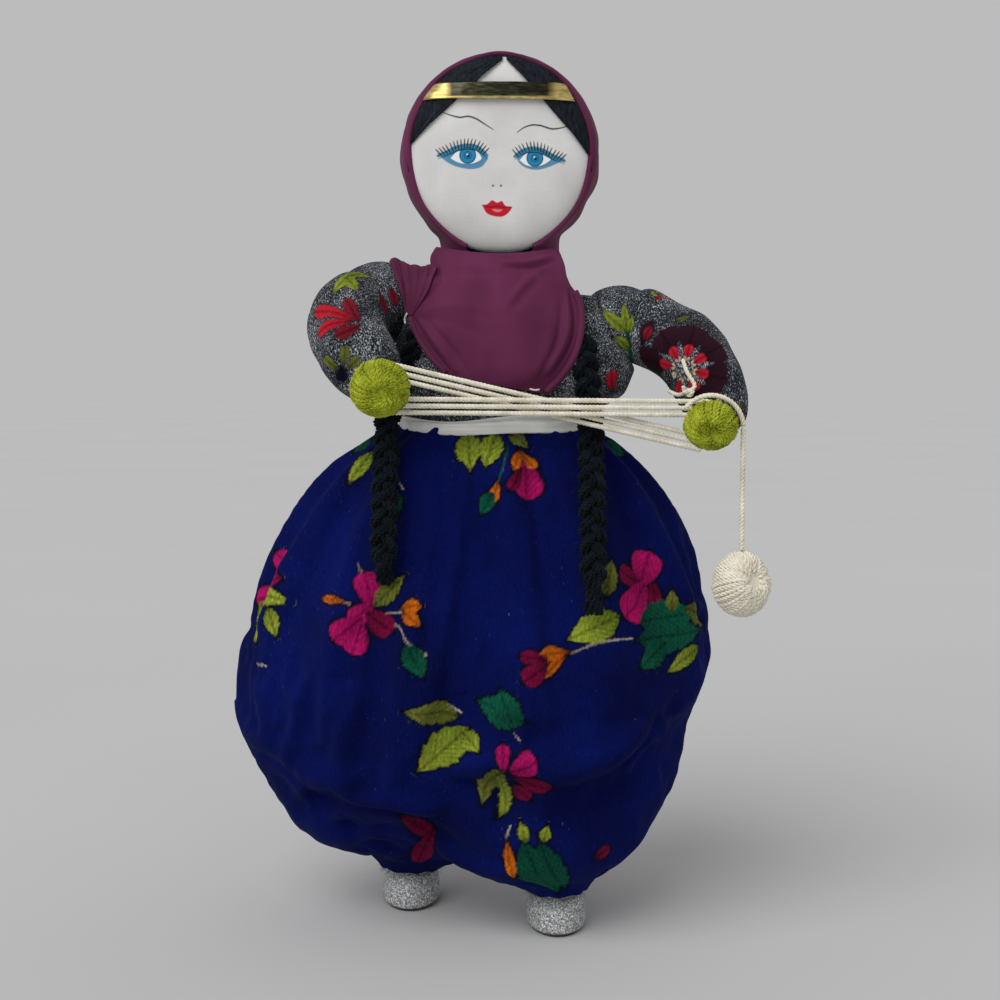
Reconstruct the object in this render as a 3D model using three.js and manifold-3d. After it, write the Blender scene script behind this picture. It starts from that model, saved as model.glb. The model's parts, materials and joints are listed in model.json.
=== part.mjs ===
// Rag doll winding yarn: a stuffed doll with a scarf, balloon trousers and a skein between its hands.
// Millimetres, +Z up, the front faces -Y. Left and right are the doll's own, so its left is at +X.
import * as THREE from "three";
import { mergeVertices } from "three/addons/utils/BufferGeometryUtils.js";
import Module from "manifold-3d";

const wasm = await Module();
wasm.setup();

// Cloth, yarn and fits
const GAP = 0.35;
const CLOTH = 1.2;
const TROUSER_CLOTH = 1.6;
const SASH_THICK = 1.4;
const YARN = 2.0;
const THREAD = 1.6;
const STICK_R = 3;
const WIRE_R = 1;

// Heights: hem and waist above the floor, the rest each above the one before
const HEM_Z = 15;
const WAIST_Z = 202;
const CHEST_UP = 24;
const COLLAR_UP = 38;
const NECK_UP = 8;
const HEAD_UP = 36;

// Trunk
const SEAT_DROP = 12;
const WAIST_WIDE = 33;
const WAIST_FRONT = 24;
const WAIST_BACK = 23;
const CHEST_WIDE = 45;
const CHEST_LEAN = 8;
const CHEST_FRONT = 29;
const CHEST_BACK = 25;
const SHOULDER_DROP = 6;
const SHOULDER_WIDE = 37;
const SHOULDER_FRONT = 21;
const SHOULDER_BACK = 23;
const COLLAR_WIDE = 27;
const COLLAR_FRONT = 15;
const COLLAR_BACK = 20;
const NECK_STEP = 4.4;
const NECK_R = 11;
const NECK_Y = 7;
const NECK_X = 4;
const NECK_LOOSE = 1;
const SPINE_LOW = 12;
const SPINE_SHORT = 6;
const SASH_WIDE = 7;

// Head
const FACE_R = 35.5;
const FACE_ROUND = 9.5;
const HEAD_R = 37;
const HEAD_TALL = 1.05;
const FACE_FRONT = 21.5;
const FACE_BACK = 6;
const HEAD_DEEP = 31;

// Scarf, hair and headband
const HOOD_EDGE = 15.5;
const SKIRT_R = 24;
const SKIRT_UP = 4.8;
const SKIRT_TALL = 6;
const BIB_X = 2;
const BIB_HALF = 33;
const BIB_SIDE = 21;
const BIB_LOW = 8.5;
const BIB_TOP = 3.2;
const BIB_BACK_HALF = 28;
const BIB_POINT = 6;
const STRIP_FROM = -14;
const STRIP_TO = -43;
const STRIP_LOW = 11;
const STRIP_BACK = 20;
const HAIR_THICK = 1.2;
const HAIR_PART = 0.3;
const HAIR_RISE = 1;
const HAIR_SPREAD = 9;
const HAIR_DROP = 4;
const BAND_THICK = 0.8;
const BAND_SHORT = 7.5;
const BAND_SHIFT = 1;
const BAND_LOW = 18;
const BAND_WIDE = 7;

// Trousers: levels of the balloon, its reach to each side and its folds
const FOLD_Z = 22;
const LOW_Z = 31;
const TUCK_Z = 48;
const HANG_Z = 78;
const BELLY_Z = 120;
const HIGH_DROP = 31;
const GATHER = 6;
const PUFF_RIGHT = 104;
const PUFF_LEFT = 88;
const PUFF_OVER = 56;
const PUFF_DEEP = 54;
const ANKLE_R = 12;
const PLEATS = 12;
const PLEAT_DEEP = 2.4;
const PLEAT_DROP = 28;
const PLEAT_LONG = 44;
const SWAG_DEEP = 7;
const SWAG_ROLL = 3;
const SWAG_OVER = 15;
const SWAG_RISE = 28;
const SWAG_HALF = 9;
const RIGHT_SWAG_Z = 44;
const LEFT_SWAG_Z = 62;

// Feet and legs
const FOOT_LONG = 38;
const FOOT_WIDE = 24.5;
const SHOE_TOP_Z = 22;
const SOLE_ROUND = 1.5;
const SOLE_Z = 2;
const VAMP_Z = 7;
const INSTEP_Z = 11;
const TOE_SET = 5;
const SHOE_EASE = 1;
const RIGHT_FOOT_X = -33.5;
const LEFT_FOOT_X = 26.7;
const RIGHT_TOE_Y = -2.5;
const LEFT_TOE_Y = -32;
const LEG_R = 9;
const THIGH_R = 12;
const HIP_DROP = 24;
const HIP_X = 20;
const HIP_Y = 2;

// Arms and hands
const ARM_CLEAR = 0.7;
const WRIST_R = 2.9;
const CUFF = 1.6;
const SLEEVE_FULL = 3.2;
const CUFF_BEND = 5;
const SLEEVE_END_Y = -38;
const THREAD_IN = 8;
const THREAD_OUT = 6;

// Yarn
const YARN_Y = -41;
const YARN_LOOSE = 0.3;
const TURNS = 3;
const PITCH = 2.55;
const CROSS = 1.4;
const KNOT_R = 2.4;
const KNOT_BACK = 7;
const DROP_LONG = 45.5;
const BALL_WIDE = 11.3;
const BALL_TALL = 13.5;

// Braids
const BRAID_R = 6;
const BRAID_UP = 4;
const BRAID_TOP = 34;
const BRAID_MID = 18;
const BRAID_OFF = 1.2;
const RIGHT_BRAID_LONG = 59;
const LEFT_BRAID_LONG = 71;

const CHEST_Z = WAIST_Z + CHEST_UP;
const COLLAR_Z = CHEST_Z + COLLAR_UP;
const NECK_TOP_Z = COLLAR_Z + NECK_UP;
const HEAD_Z = NECK_TOP_Z + HEAD_UP;
const HIP_Z = WAIST_Z - HIP_DROP;
const BRAID_HINGE_Z = WAIST_Z + BRAID_UP;
const REACH = 2 * (PUFF_RIGHT + PUFF_LEFT);
const HIGHEST = HEAD_Z + 2 * HEAD_R;

const v = (x, y, z) => new THREE.Vector3(x, y, z);
const HEAD = v(NECK_X, 0, HEAD_Z);
const RIGHT = {
  name: "right",
  sign: -1,
  shoulder: v(-45, 2, COLLAR_Z - 14),
  root: 17.5,
  bow: v(-14, -1, 6),
  hand: v(-40, -56, COLLAR_Z - 47),
  handR: 11.5,
  puff: PUFF_RIGHT,
  low: 0.78,
  hang: 1,
  belly: 0.95,
  high: 0.74,
  swagZ: RIGHT_SWAG_Z,
  footX: RIGHT_FOOT_X,
  toeY: RIGHT_TOE_Y,
  braidX: 37,
  braidTopX: 28.8,
  braidY: -24,
  braidLong: RIGHT_BRAID_LONG,
};
const LEFT = {
  name: "left",
  sign: 1,
  shoulder: v(52, 2, COLLAR_Z - 22),
  root: 16.2,
  bow: v(10, 0, 9),
  hand: v(81.8, -55, COLLAR_Z - 61.5),
  handR: 10.5,
  puff: PUFF_LEFT,
  low: 0.62,
  hang: 0.92,
  belly: 1.01,
  high: 0.83,
  swagZ: LEFT_SWAG_Z,
  footX: LEFT_FOOT_X,
  toeY: LEFT_TOE_Y,
  braidX: 38,
  braidTopX: 35,
  braidY: -28.5,
  braidLong: LEFT_BRAID_LONG,
};
const SIDES = [LEFT, RIGHT];
const ARM_AXIS = RIGHT.shoulder.clone().sub(LEFT.shoulder).normalize();
const BLOUSE_IN = GAP;
const BLOUSE_OUT = BLOUSE_IN + CLOTH;
const OVER_IN = BLOUSE_OUT + GAP;
const BIB_OUT = OVER_IN + CLOTH;
const SASH_OUT = OVER_IN + SASH_THICK;

// Closed body from a geometry, with its seams merged
function solid(geometry) {
  const bare = new THREE.BufferGeometry();
  bare.setAttribute("position", geometry.getAttribute("position"));
  bare.setIndex(geometry.getIndex());
  const merged = mergeVertices(bare, 1e-4);
  const index = merged.getIndex().array;
  const triangles = [];
  for (let i = 0; i < index.length; i += 3) {
    const [a, b, c] = [index[i], index[i + 1], index[i + 2]];
    if (a !== b && b !== c && c !== a) triangles.push(a, b, c);
  }
  const mesh = new wasm.Mesh({
    numProp: 3,
    vertProperties: Float32Array.from(merged.getAttribute("position").array),
    triVerts: Uint32Array.from(triangles),
  });
  return new wasm.Manifold(mesh);
}

// Body through rings of equal point counts, closed at both ends
function loft(rings) {
  const count = rings[0].length;
  const points = rings.flat();
  const index = [];
  for (let row = 0; row + 1 < rings.length; row += 1) {
    for (let i = 0; i < count; i += 1) {
      const a = row * count + i;
      const b = row * count + ((i + 1) % count);
      index.push(a, b, b + count, a, b + count, a + count);
    }
  }
  const last = points.length - count;
  const middle = (ring) => ring.reduce((sum, p) => sum.add(p), v(0, 0, 0)).divideScalar(count);
  const foot = points.push(middle(rings[0])) - 1;
  const top = points.push(middle(rings[rings.length - 1])) - 1;
  for (let i = 0; i < count; i += 1) {
    const next = (i + 1) % count;
    index.push(foot, next, i, top, last + i, last + next);
  }
  const geometry = new THREE.BufferGeometry().setFromPoints(points);
  geometry.setIndex(index);
  return solid(geometry);
}

// Round tube along points; the radius may follow the share of the way
function tube(points, radius, sides) {
  const size = typeof radius === "function" ? radius : () => radius;
  const rings = [];
  let across = null;
  points.forEach((point, i) => {
    const before = points[Math.max(i - 1, 0)];
    const after = points[Math.min(i + 1, points.length - 1)];
    const along = after.clone().sub(before).normalize();
    if (!across) across = Math.abs(along.z) < 0.8 ? v(0, 0, 1) : v(1, 0, 0);
    across = across.clone().addScaledVector(along, -across.dot(along)).normalize();
    const up = along.clone().cross(across);
    const r = size(i / (points.length - 1));
    const ring = [];
    for (let k = 0; k < sides; k += 1) {
      const turn = (2 * Math.PI * k) / sides;
      const p = point.clone().addScaledVector(across, r * Math.cos(turn));
      ring.push(p.addScaledVector(up, r * Math.sin(turn)));
    }
    rings.push(ring);
  });
  return loft(rings);
}

const rod = (from, to, r, sides = 12) => tube([from, to], r, sides);

// Oval ring at a height
function oval(z, x0, x1, y0, y1, count, wave = () => 0) {
  const ring = [];
  for (let i = 0; i < count; i += 1) {
    const turn = (2 * Math.PI * i) / count;
    const grow = wave(turn, z);
    const x = (x0 + x1) / 2 + ((x1 - x0) / 2 + grow) * Math.cos(turn);
    const y = (y0 + y1) / 2 + ((y1 - y0) / 2 + grow) * Math.sin(turn);
    ring.push(v(x, y, z));
  }
  return ring;
}

function ball(center, rx, ry, rz, around = 20, rows = 12) {
  const geometry = new THREE.SphereGeometry(1, around, rows);
  geometry.scale(rx, ry, rz);
  geometry.translate(center.x, center.y, center.z);
  return solid(geometry);
}

// Upright outline of [x, z] corners, pushed through from y0 to y1
function prism(corners, y0, y1) {
  const shape = new THREE.Shape(corners.map(([x, z]) => new THREE.Vector2(x, z)));
  const geometry = new THREE.ExtrudeGeometry(shape, { depth: y1 - y0, bevelEnabled: false });
  geometry.rotateX(Math.PI / 2);
  geometry.translate(0, y1, 0);
  return solid(geometry);
}

function block(x0, x1, y0, y1, z0, z1) {
  const geometry = new THREE.BoxGeometry(x1 - x0, y1 - y0, z1 - z0);
  geometry.translate((x0 + x1) / 2, (y0 + y1) / 2, (z0 + z1) / 2);
  return solid(geometry);
}

const slab = (z0, z1) => block(-REACH, REACH, -REACH, REACH, z0, z1);
const behind = (y) => block(-REACH, REACH, y, REACH, 0, HIGHEST);
const before = (y) => block(-REACH, REACH, -REACH, y, 0, HIGHEST);

// The main body of a cut, without loose chips
function largest(body) {
  const pieces = body.decompose();
  return pieces.reduce((best, piece) => (piece.volume() > best.volume() ? piece : best));
}

// Smooth course of every field of the keys at a height
function course(keys, z) {
  let i = 0;
  while (i < keys.length - 2 && z > keys[i + 1].z) i += 1;
  const before = keys[Math.max(i - 1, 0)];
  const from = keys[i];
  const to = keys[i + 1];
  const after = keys[Math.min(i + 2, keys.length - 1)];
  const span = to.z - from.z;
  const t = (z - from.z) / span;
  const at = {};
  for (const field of Object.keys(from)) {
    const leave = ((to[field] - before[field]) / (to.z - before.z)) * span;
    const arrive = ((after[field] - from[field]) / (after.z - from.z)) * span;
    const a = 2 * t ** 3 - 3 * t ** 2 + 1;
    const b = t ** 3 - 2 * t ** 2 + t;
    const c = 3 * t ** 2 - 2 * t ** 3;
    const d = t ** 3 - t ** 2;
    at[field] = a * from[field] + b * leave + c * to[field] + d * arrive;
  }
  return at;
}

// Evenly spaced numbers, both ends among them
function steps(from, to, count) {
  return Array.from({ length: count }, (_, i) => from + ((to - from) * i) / (count - 1));
}

// Trunk: waist, chest, shoulders and neck
const trunkAt = (z, x, wide, front, back) => ({ z, x, wide, front, back });
const trunkKeys = [
  trunkAt(WAIST_Z - SEAT_DROP, 0, WAIST_WIDE - GATHER / 2, WAIST_FRONT - GATHER / 3, WAIST_BACK),
  trunkAt(WAIST_Z, 0, WAIST_WIDE, WAIST_FRONT, WAIST_BACK),
  trunkAt(CHEST_Z, CHEST_LEAN, CHEST_WIDE, CHEST_FRONT, CHEST_BACK),
  trunkAt(COLLAR_Z - SHOULDER_DROP, NECK_X, SHOULDER_WIDE, SHOULDER_FRONT, SHOULDER_BACK),
  trunkAt(COLLAR_Z, NECK_X, COLLAR_WIDE, COLLAR_FRONT, COLLAR_BACK),
  trunkAt(COLLAR_Z + NECK_STEP, NECK_X, NECK_R, NECK_R - NECK_Y, NECK_R + NECK_Y),
  trunkAt(NECK_TOP_Z, NECK_X, NECK_R, NECK_R - NECK_Y, NECK_R + NECK_Y),
];

function trunkForm(grow) {
  const shoulder = COLLAR_Z - SHOULDER_DROP;
  const chest = steps(trunkKeys[0].z, shoulder, 9);
  const top = [COLLAR_Z - SHOULDER_DROP / 2, ...steps(COLLAR_Z, COLLAR_Z + NECK_STEP, 3), NECK_TOP_Z];
  const rings = [...chest, ...top].map((z) => {
    const at = course(trunkKeys, z);
    return oval(z, at.x - at.wide - grow, at.x + at.wide + grow, -at.front - grow, at.back + grow, 24);
  });
  return loft(rings);
}

// Foremost point of the trunk at a place
function trunkFront(x, z) {
  const at = course(trunkKeys, z);
  const share = Math.min(Math.abs((x - at.x) / at.wide), 0.9);
  const middle = (at.back - at.front) / 2;
  return middle - ((at.back + at.front) / 2) * Math.sqrt(1 - share ** 2);
}

// Trousers: one balloon to each side, gathered at the waist and the hem
const ankle = (side) => v(side.footX, side.toeY + TOE_SET + ANKLE_R, HEM_Z);

function puffKeys(side) {
  const foot = ankle(side);
  const near = side.sign * foot.x;
  const ease = TROUSER_CLOTH + 2 * GAP;
  const hem = (z) => ({
    z,
    out: near + ANKLE_R,
    over: ANKLE_R - near,
    front: ANKLE_R - foot.y,
    back: ANKLE_R + foot.y,
  });
  const level = (z, out, over, deep, lean) => ({
    z,
    out: side.puff * out,
    over: PUFF_OVER * over,
    front: PUFF_DEEP * deep - foot.y * lean,
    back: PUFF_DEEP * deep + foot.y * lean,
  });
  const waist = (z, spread, share) => ({
    z,
    out: WAIST_WIDE + ease + spread,
    over: WAIST_WIDE + ease + spread * share,
    front: WAIST_FRONT + ease + spread * share,
    back: WAIST_BACK + ease + spread * share,
  });
  return [
    hem(HEM_Z - GATHER),
    hem(HEM_Z),
    level(FOLD_Z, 0.52, 0.05, 0.36, 1),
    level(LOW_Z, side.low, 0.34, 0.54, 1),
    level(TUCK_Z, 0.87 * side.hang, 0.56, 0.78, 0.5),
    level(HANG_Z, side.hang, 0.82, 0.96, 0.3),
    level(BELLY_Z, side.belly, 1, 0.99, 0),
    level(WAIST_Z - HIGH_DROP, side.high, 0.96, 0.76, 0),
    waist(WAIST_Z - GATHER, 2 * GATHER, 0.4),
    waist(WAIST_Z, 0, 0),
    waist(WAIST_Z + GATHER, 0, 0),
  ];
}

// Pleats from the waist, and one deep swag low on the front with a roll of cloth hanging over it
function puffWave(side, turn, z) {
  const near = (middle, half) => Math.exp(-(((z - middle) / half) ** 2));
  const pleat = PLEAT_DEEP * Math.cos(PLEATS * turn) * near(WAIST_Z - PLEAT_DROP, PLEAT_LONG);
  const swagZ = side.swagZ + SWAG_RISE * Math.cos(turn) ** 2;
  const ahead = Math.min(1, Math.max(0, 0.6 - Math.sin(turn)));
  const roll = SWAG_ROLL * near(swagZ + SWAG_OVER, SWAG_HALF);
  const swag = SWAG_DEEP * near(swagZ, SWAG_HALF);
  return pleat + (roll - swag) * ahead;
}

const PUFF_ROWS = 15;
const PLEAT_SIDES = 3;

function puffForm(side, grow) {
  const keys = puffKeys(side);
  const low = [HEM_Z - GATHER, HEM_Z, FOLD_Z, LOW_Z, (LOW_Z + TUCK_Z) / 2];
  const high = [WAIST_Z - GATHER, WAIST_Z, WAIST_Z + GATHER];
  const rows = [...low, ...steps(TUCK_Z, WAIST_Z - 2 * GATHER, PUFF_ROWS), ...high];
  const rings = rows.map((z) => {
    const at = course(keys, z);
    const ends = [side.sign * at.out, -side.sign * at.over].sort((a, b) => a - b);
    const wave = (turn) => puffWave(side, turn, z) + grow;
    return oval(z, ends[0], ends[1], -at.front, at.back, PLEAT_SIDES * PLEATS, wave);
  });
  return loft(rings);
}

const trouserForm = (grow) => puffForm(LEFT, grow).add(puffForm(RIGHT, grow));

// Foremost point of the trousers at a place
function trouserFront(x, z) {
  const fronts = SIDES.map((side) => {
    const at = course(puffKeys(side), z);
    const middle = (side.sign * (at.out - at.over)) / 2;
    const share = Math.min(Math.abs((x - middle) / ((at.out + at.over) / 2)), 0.95);
    return (at.back - at.front) / 2 - ((at.back + at.front) / 2) * Math.sqrt(1 - share ** 2);
  });
  return Math.min(...fronts);
}

// Outline of the head from the middle of the face to the back, as [radius, y]
const facePoints = [
  [0, -FACE_FRONT],
  [FACE_R * 0.6, -FACE_FRONT + FACE_ROUND * 0.05],
  [FACE_R * 0.84, -FACE_FRONT + FACE_ROUND * 0.21],
  [FACE_R * 0.95, -FACE_FRONT + FACE_ROUND * 0.53],
  [FACE_R, -FACE_FRONT + FACE_ROUND],
];
const backPoints = [
  [HEAD_R, HEAD_DEEP * 0.06],
  [HEAD_R * 0.97, HEAD_DEEP * 0.35],
  [HEAD_R * 0.82, HEAD_DEEP * 0.66],
  [HEAD_R * 0.55, HEAD_DEEP * 0.88],
  [0, HEAD_DEEP],
];

// Outline moved outward by grow
function grown(points, grow) {
  return points.map(([r, y], i) => {
    const before = points[Math.max(i - 1, 0)];
    const after = points[Math.min(i + 1, points.length - 1)];
    const [dr, dy] = [after[0] - before[0], after[1] - before[1]];
    const long = Math.hypot(dr, dy);
    if (r === 0) return [0, y + grow * Math.sign(y)];
    return [r + (grow * dy) / long, y - (grow * dr) / long];
  });
}

function turned(points, sides = 32) {
  const geometry = new THREE.LatheGeometry(points.map(([r, y]) => new THREE.Vector2(r, y)), sides);
  geometry.scale(1, 1, HEAD_TALL);
  geometry.translate(HEAD.x, HEAD.y, HEAD.z);
  return solid(geometry);
}

const headForm = (grow) => turned(grown([...facePoints, ...backPoints], grow));
const neckHole = (grow) => {
  const low = v(NECK_X, NECK_Y, CHEST_Z);
  return rod(low, v(NECK_X, NECK_Y, NECK_TOP_Z + grow), NECK_R + grow, 28);
};
const spine = (grow) => {
  const low = v(NECK_X, NECK_Y, WAIST_Z + SPINE_LOW - grow);
  return rod(low, v(NECK_X, NECK_Y, HEAD_Z - SPINE_SHORT + grow), STICK_R + grow, 16);
};

// Arm: a ball at the shoulder, a bowed sleeve and a thin wrist that points ahead
function armPath(side) {
  const wrist = v(side.hand.x, SLEEVE_END_Y, side.hand.z);
  const middle = side.shoulder.clone().lerp(wrist, 0.5).add(side.bow);
  const near = wrist.clone().add(v(side.sign * CUFF_BEND, CUFF_BEND, CUFF_BEND));
  return new THREE.CatmullRomCurve3([side.shoulder, middle, near, wrist], false, "centripetal");
}

function sleeveR(side, t) {
  const cuff = WRIST_R + CUFF;
  const slim = 0.8 + 0.2 * Math.min(1, t / 0.3);
  return (cuff + (side.root * 0.95 - cuff) * (1 - t ** SLEEVE_FULL)) * slim;
}

function rootBall(side, grow) {
  const r = side.root + grow;
  return ball(side.shoulder, r, r, r, 18, 11);
}

function armForm(side, grow) {
  const whole = tube(armPath(side).getPoints(10), (t) => sleeveR(side, t) + grow, 16);
  const sleeve = whole.intersect(behind(SLEEVE_END_Y - grow));
  const wrist = v(side.hand.x, SLEEVE_END_Y + CUFF_BEND, side.hand.z);
  const tip = v(side.hand.x, side.hand.y + side.handR + GAP, side.hand.z);
  return rootBall(side, grow).add(sleeve).add(rod(wrist, tip, WRIST_R + grow, 12));
}

const threadForm = (side, grow) => {
  const inward = side === LEFT ? ARM_AXIS : ARM_AXIS.clone().negate();
  const inner = side.shoulder.clone().addScaledVector(inward, side.root + THREAD_IN + grow);
  const outer = side.shoulder.clone().addScaledVector(inward, -THREAD_OUT - grow);
  return rod(inner, outer, THREAD / 2 + grow, 10);
};

const wirePoints = (side) => {
  const path = armPath(side).getPoints(12).slice(3);
  return [...path, v(side.hand.x, side.hand.y, side.hand.z)];
};
const wireForm = (side, grow) => {
  const points = wirePoints(side);
  const end = points[points.length - 1].clone().add(v(0, -grow, 0));
  return tube([...points.slice(0, -1), end], WIRE_R + grow, 8);
};

const handForm = (side) => ball(side.hand, side.handR, side.handR, side.handR * 0.97, 18, 12);

// Leg, its stick and the shoe
const hip = (side) => v(side.sign * HIP_X, HIP_Y, HIP_Z);
const legAt = (side, share) => ankle(side).setZ(SHOE_TOP_Z + GAP).lerp(hip(side), share);
const legForm = (side, grow) => {
  const width = (t) => LEG_R + (THIGH_R - LEG_R) * t + grow;
  const whole = tube([legAt(side, -0.04), legAt(side, 0.5), legAt(side, 1)], width, 16);
  return whole.intersect(slab(SHOE_TOP_Z + GAP - grow, WAIST_Z));
};
const legStick = (side, grow) => {
  const spare = grow / HIP_Z;
  return rod(legAt(side, -0.09 - spare), legAt(side, 0.7 + spare), STICK_R + grow, 12);
};

function shoeForm(side, grow) {
  const toe = side.toeY - grow;
  const heel = side.toeY + FOOT_LONG + grow;
  const half = FOOT_WIDE / 2 + grow;
  const at = ankle(side);
  const neck = ANKLE_R - TROUSER_CLOTH - SHOE_EASE + grow;
  const foot = (z, front, narrow) => {
    const [left, right] = [at.x - half + narrow, at.x + half - narrow];
    return oval(z, left, right, toe + front, heel - narrow, 24);
  };
  const cuff = (z, less) => {
    const r = neck - less;
    return oval(z, at.x - r, at.x + r, at.y - r, at.y + r, 24);
  };
  return loft([
    foot(0, SOLE_ROUND, SOLE_ROUND),
    foot(SOLE_Z, 0, 0),
    foot(VAMP_Z, SOLE_ROUND * 0.2, SOLE_ROUND * 0.15),
    foot(INSTEP_Z, SOLE_ROUND * 1.7, SOLE_ROUND * 0.8),
    cuff(HEM_Z - SOLE_ROUND / 3, 0),
    cuff(SHOE_TOP_Z, SOLE_ROUND * 0.4),
  ]);
}

// Braid: down the blouse to the waist, then over the trousers
function braidHinge(side) {
  return v(side.sign * side.braidX, side.braidY, BRAID_HINGE_Z);
}

function hingeBall(side, grow) {
  const r = BRAID_R + grow;
  return ball(braidHinge(side), r, r, r, 12, 8);
}

function braidTop(side) {
  const at = (x, z) => v(side.sign * x, trunkFront(side.sign * x, z) - BIB_OUT - BRAID_R - GAP, z);
  const top = at(side.braidTopX - BRAID_R / 3, BRAID_HINGE_Z + BRAID_TOP);
  const middle = at(side.braidTopX, BRAID_HINGE_Z + BRAID_MID);
  const path = new THREE.CatmullRomCurve3([top, middle, braidHinge(side)]);
  const plait = tube(path.getPoints(5), (t) => BRAID_R * (0.75 + 0.2 * Math.min(1, 2 * t)), 12);
  return plait.add(hingeBall(side, 0));
}

function braidLow(side) {
  const rows = steps(WAIST_Z - 2 * GATHER, BRAID_HINGE_Z - side.braidLong, 6);
  const points = rows.map((z) => {
    const x = side.sign * side.braidX;
    return v(x, trouserFront(x, z) - BRAID_R - BRAID_OFF, z);
  });
  const width = (t) => BRAID_R * (1 - 0.12 * Math.sin(Math.PI * t));
  return tube([braidHinge(side), ...points], width, 12).subtract(hingeBall(side, 3 * GAP));
}

// Skein: one strand in a figure of eight around both wrists
const TURN_LEAST = WRIST_R + YARN_LOOSE + YARN / 2;
const TURN_MOST = TURN_LEAST + PITCH * (TURNS - 1);

function skeinPoints() {
  const from = v(LEFT.hand.x, YARN_Y, LEFT.hand.z);
  const to = v(RIGHT.hand.x, YARN_Y, RIGHT.hand.z);
  const along = to.clone().sub(from).normalize();
  const up = v(0, 1, 0).cross(along).normalize();
  if (up.z < 0) up.negate();
  const half = Math.PI / 2 + Math.asin((TURN_LEAST + TURN_MOST) / from.distanceTo(to));
  const around = (center, facing, r0, r1, side0, side1, y0, y1) => {
    const arc = [];
    for (const t of steps(0, 1, 13)) {
      const turn = half * (side0 * (1 - t) + side1 * t);
      const r = r0 + (r1 - r0) * t;
      const p = center.clone().addScaledVector(along, facing * r * Math.cos(turn));
      p.addScaledVector(up, r * Math.sin(turn));
      p.y += y0 + (y1 - y0) * t;
      arc.push(p);
    }
    return arc;
  };
  const points = [];
  for (let k = 0; k < TURNS; k += 1) {
    const here = TURN_LEAST + PITCH * k;
    const there = TURN_MOST - PITCH * k;
    if (k > 0) points.push(...around(from, -1, here - PITCH, here, -1, 1, CROSS, -CROSS));
    else points.push(...around(from, -1, here, here, 0.9, 1, -CROSS, -CROSS).slice(-3));
    points.push(...around(to, 1, there, there, -1, 1, -CROSS, CROSS));
  }
  points.push(...around(from, -1, TURN_MOST, TURN_MOST, -1, -0.9, CROSS, CROSS).slice(0, 3));
  return points;
}

// Least distance of a strand to itself, apart from its own neighbourhood
function selfGap(points, skip) {
  const fine = [];
  for (let i = 0; i + 1 < points.length; i += 1) {
    const parts = Math.max(1, Math.round(points[i].distanceTo(points[i + 1]) / 0.6));
    for (let k = 0; k < parts; k += 1) fine.push(points[i].clone().lerp(points[i + 1], k / parts));
  }
  let way = 0;
  const ways = fine.map((p, i) => {
    way += i ? p.distanceTo(fine[i - 1]) : 0;
    return way;
  });
  let least = Infinity;
  for (let i = 0; i < fine.length; i += 1) {
    for (let k = i + 1; k < fine.length; k += 1) {
      if (ways[k] - ways[i] > skip) least = Math.min(least, fine[i].distanceTo(fine[k]));
    }
  }
  return least;
}

// Knot above the left wrist, its tails on the sleeve
const TAIL_ABOVE = v(-0.1, -0.94, 0.33);
const TAIL_BESIDE = v(-0.77, -0.63, -0.06);

function knotAt() {
  const rise = TURN_MOST + YARN / 2 + KNOT_R + GAP;
  return v(LEFT.hand.x - KNOT_BACK, YARN_Y + YARN / 2, LEFT.hand.z + rise);
}

function knotTail(out, from, to) {
  const path = armPath(LEFT);
  const points = [knotAt()];
  for (const t of steps(from, to, 3)) {
    points.push(path.getPoint(t).addScaledVector(out, sleeveR(LEFT, t) + YARN / 2 + GAP));
  }
  return tube(new THREE.CatmullRomCurve3(points).getPoints(7), YARN / 2, 6);
}

function knotForm() {
  const core = ball(knotAt(), KNOT_R * 1.1, KNOT_R * 0.9, KNOT_R * 0.9, 12, 8);
  return core.add(knotTail(TAIL_ABOVE, 0.57, 0.4)).add(knotTail(TAIL_BESIDE, 0.6, 0.48));
}

// Strand over the left hand and the drop beside it
const LEAD_R = LEFT.handR + YARN / 2 + GAP;
const dropTop = () => v(LEFT.hand.x + LEAD_R, LEFT.hand.y, LEFT.hand.z);

function leadForm() {
  const points = steps(0.8 * Math.PI, 0.08, 12).map((turn) => {
    return LEFT.hand.clone().add(v(LEAD_R * Math.cos(turn), 0, LEAD_R * Math.sin(turn)));
  });
  return tube(points, YARN / 2, 8);
}

const dropForm = () => {
  const top = dropTop();
  const points = steps(-GAP, -DROP_LONG, 11).map((down) => top.clone().add(v(0, 0, down)));
  return tube(points, YARN / 2, 8);
};

const yarnBall = () => {
  const middle = dropTop().add(v(0, 0, -DROP_LONG - GAP - BALL_TALL));
  return ball(middle, BALL_WIDE, BALL_WIDE * 0.85, BALL_TALL, 20, 14);
};

// Head pieces cut from the face's outline
function faceOver(from, thick) {
  return headForm(from + thick).subtract(headForm(from)).intersect(before(-HOOD_EDGE - GAP));
}

function hairForm(side) {
  const inner = HEAD.x + side.sign * HAIR_PART;
  const outer = HEAD.x + side.sign * (FACE_R + HAIR_SPREAD);
  const above = HEAD.z + FACE_R + HAIR_SPREAD;
  const corners = [
    [inner, HEAD.z + FACE_R + HAIR_RISE],
    [outer, HEAD.z - HAIR_DROP],
    [outer, above],
    [inner, above],
  ];
  return largest(faceOver(GAP, HAIR_THICK).intersect(prism(corners, -2 * FACE_R, 0)));
}

function bandForm() {
  const low = HEAD.z + BAND_LOW;
  const middle = HEAD.x + BAND_SHIFT;
  const half = FACE_R - BAND_SHORT;
  const strip = block(middle - half, middle + half, -2 * FACE_R, 0, low, low + BAND_WIDE);
  return largest(faceOver(2 * GAP + HAIR_THICK, BAND_THICK).intersect(strip));
}

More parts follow.
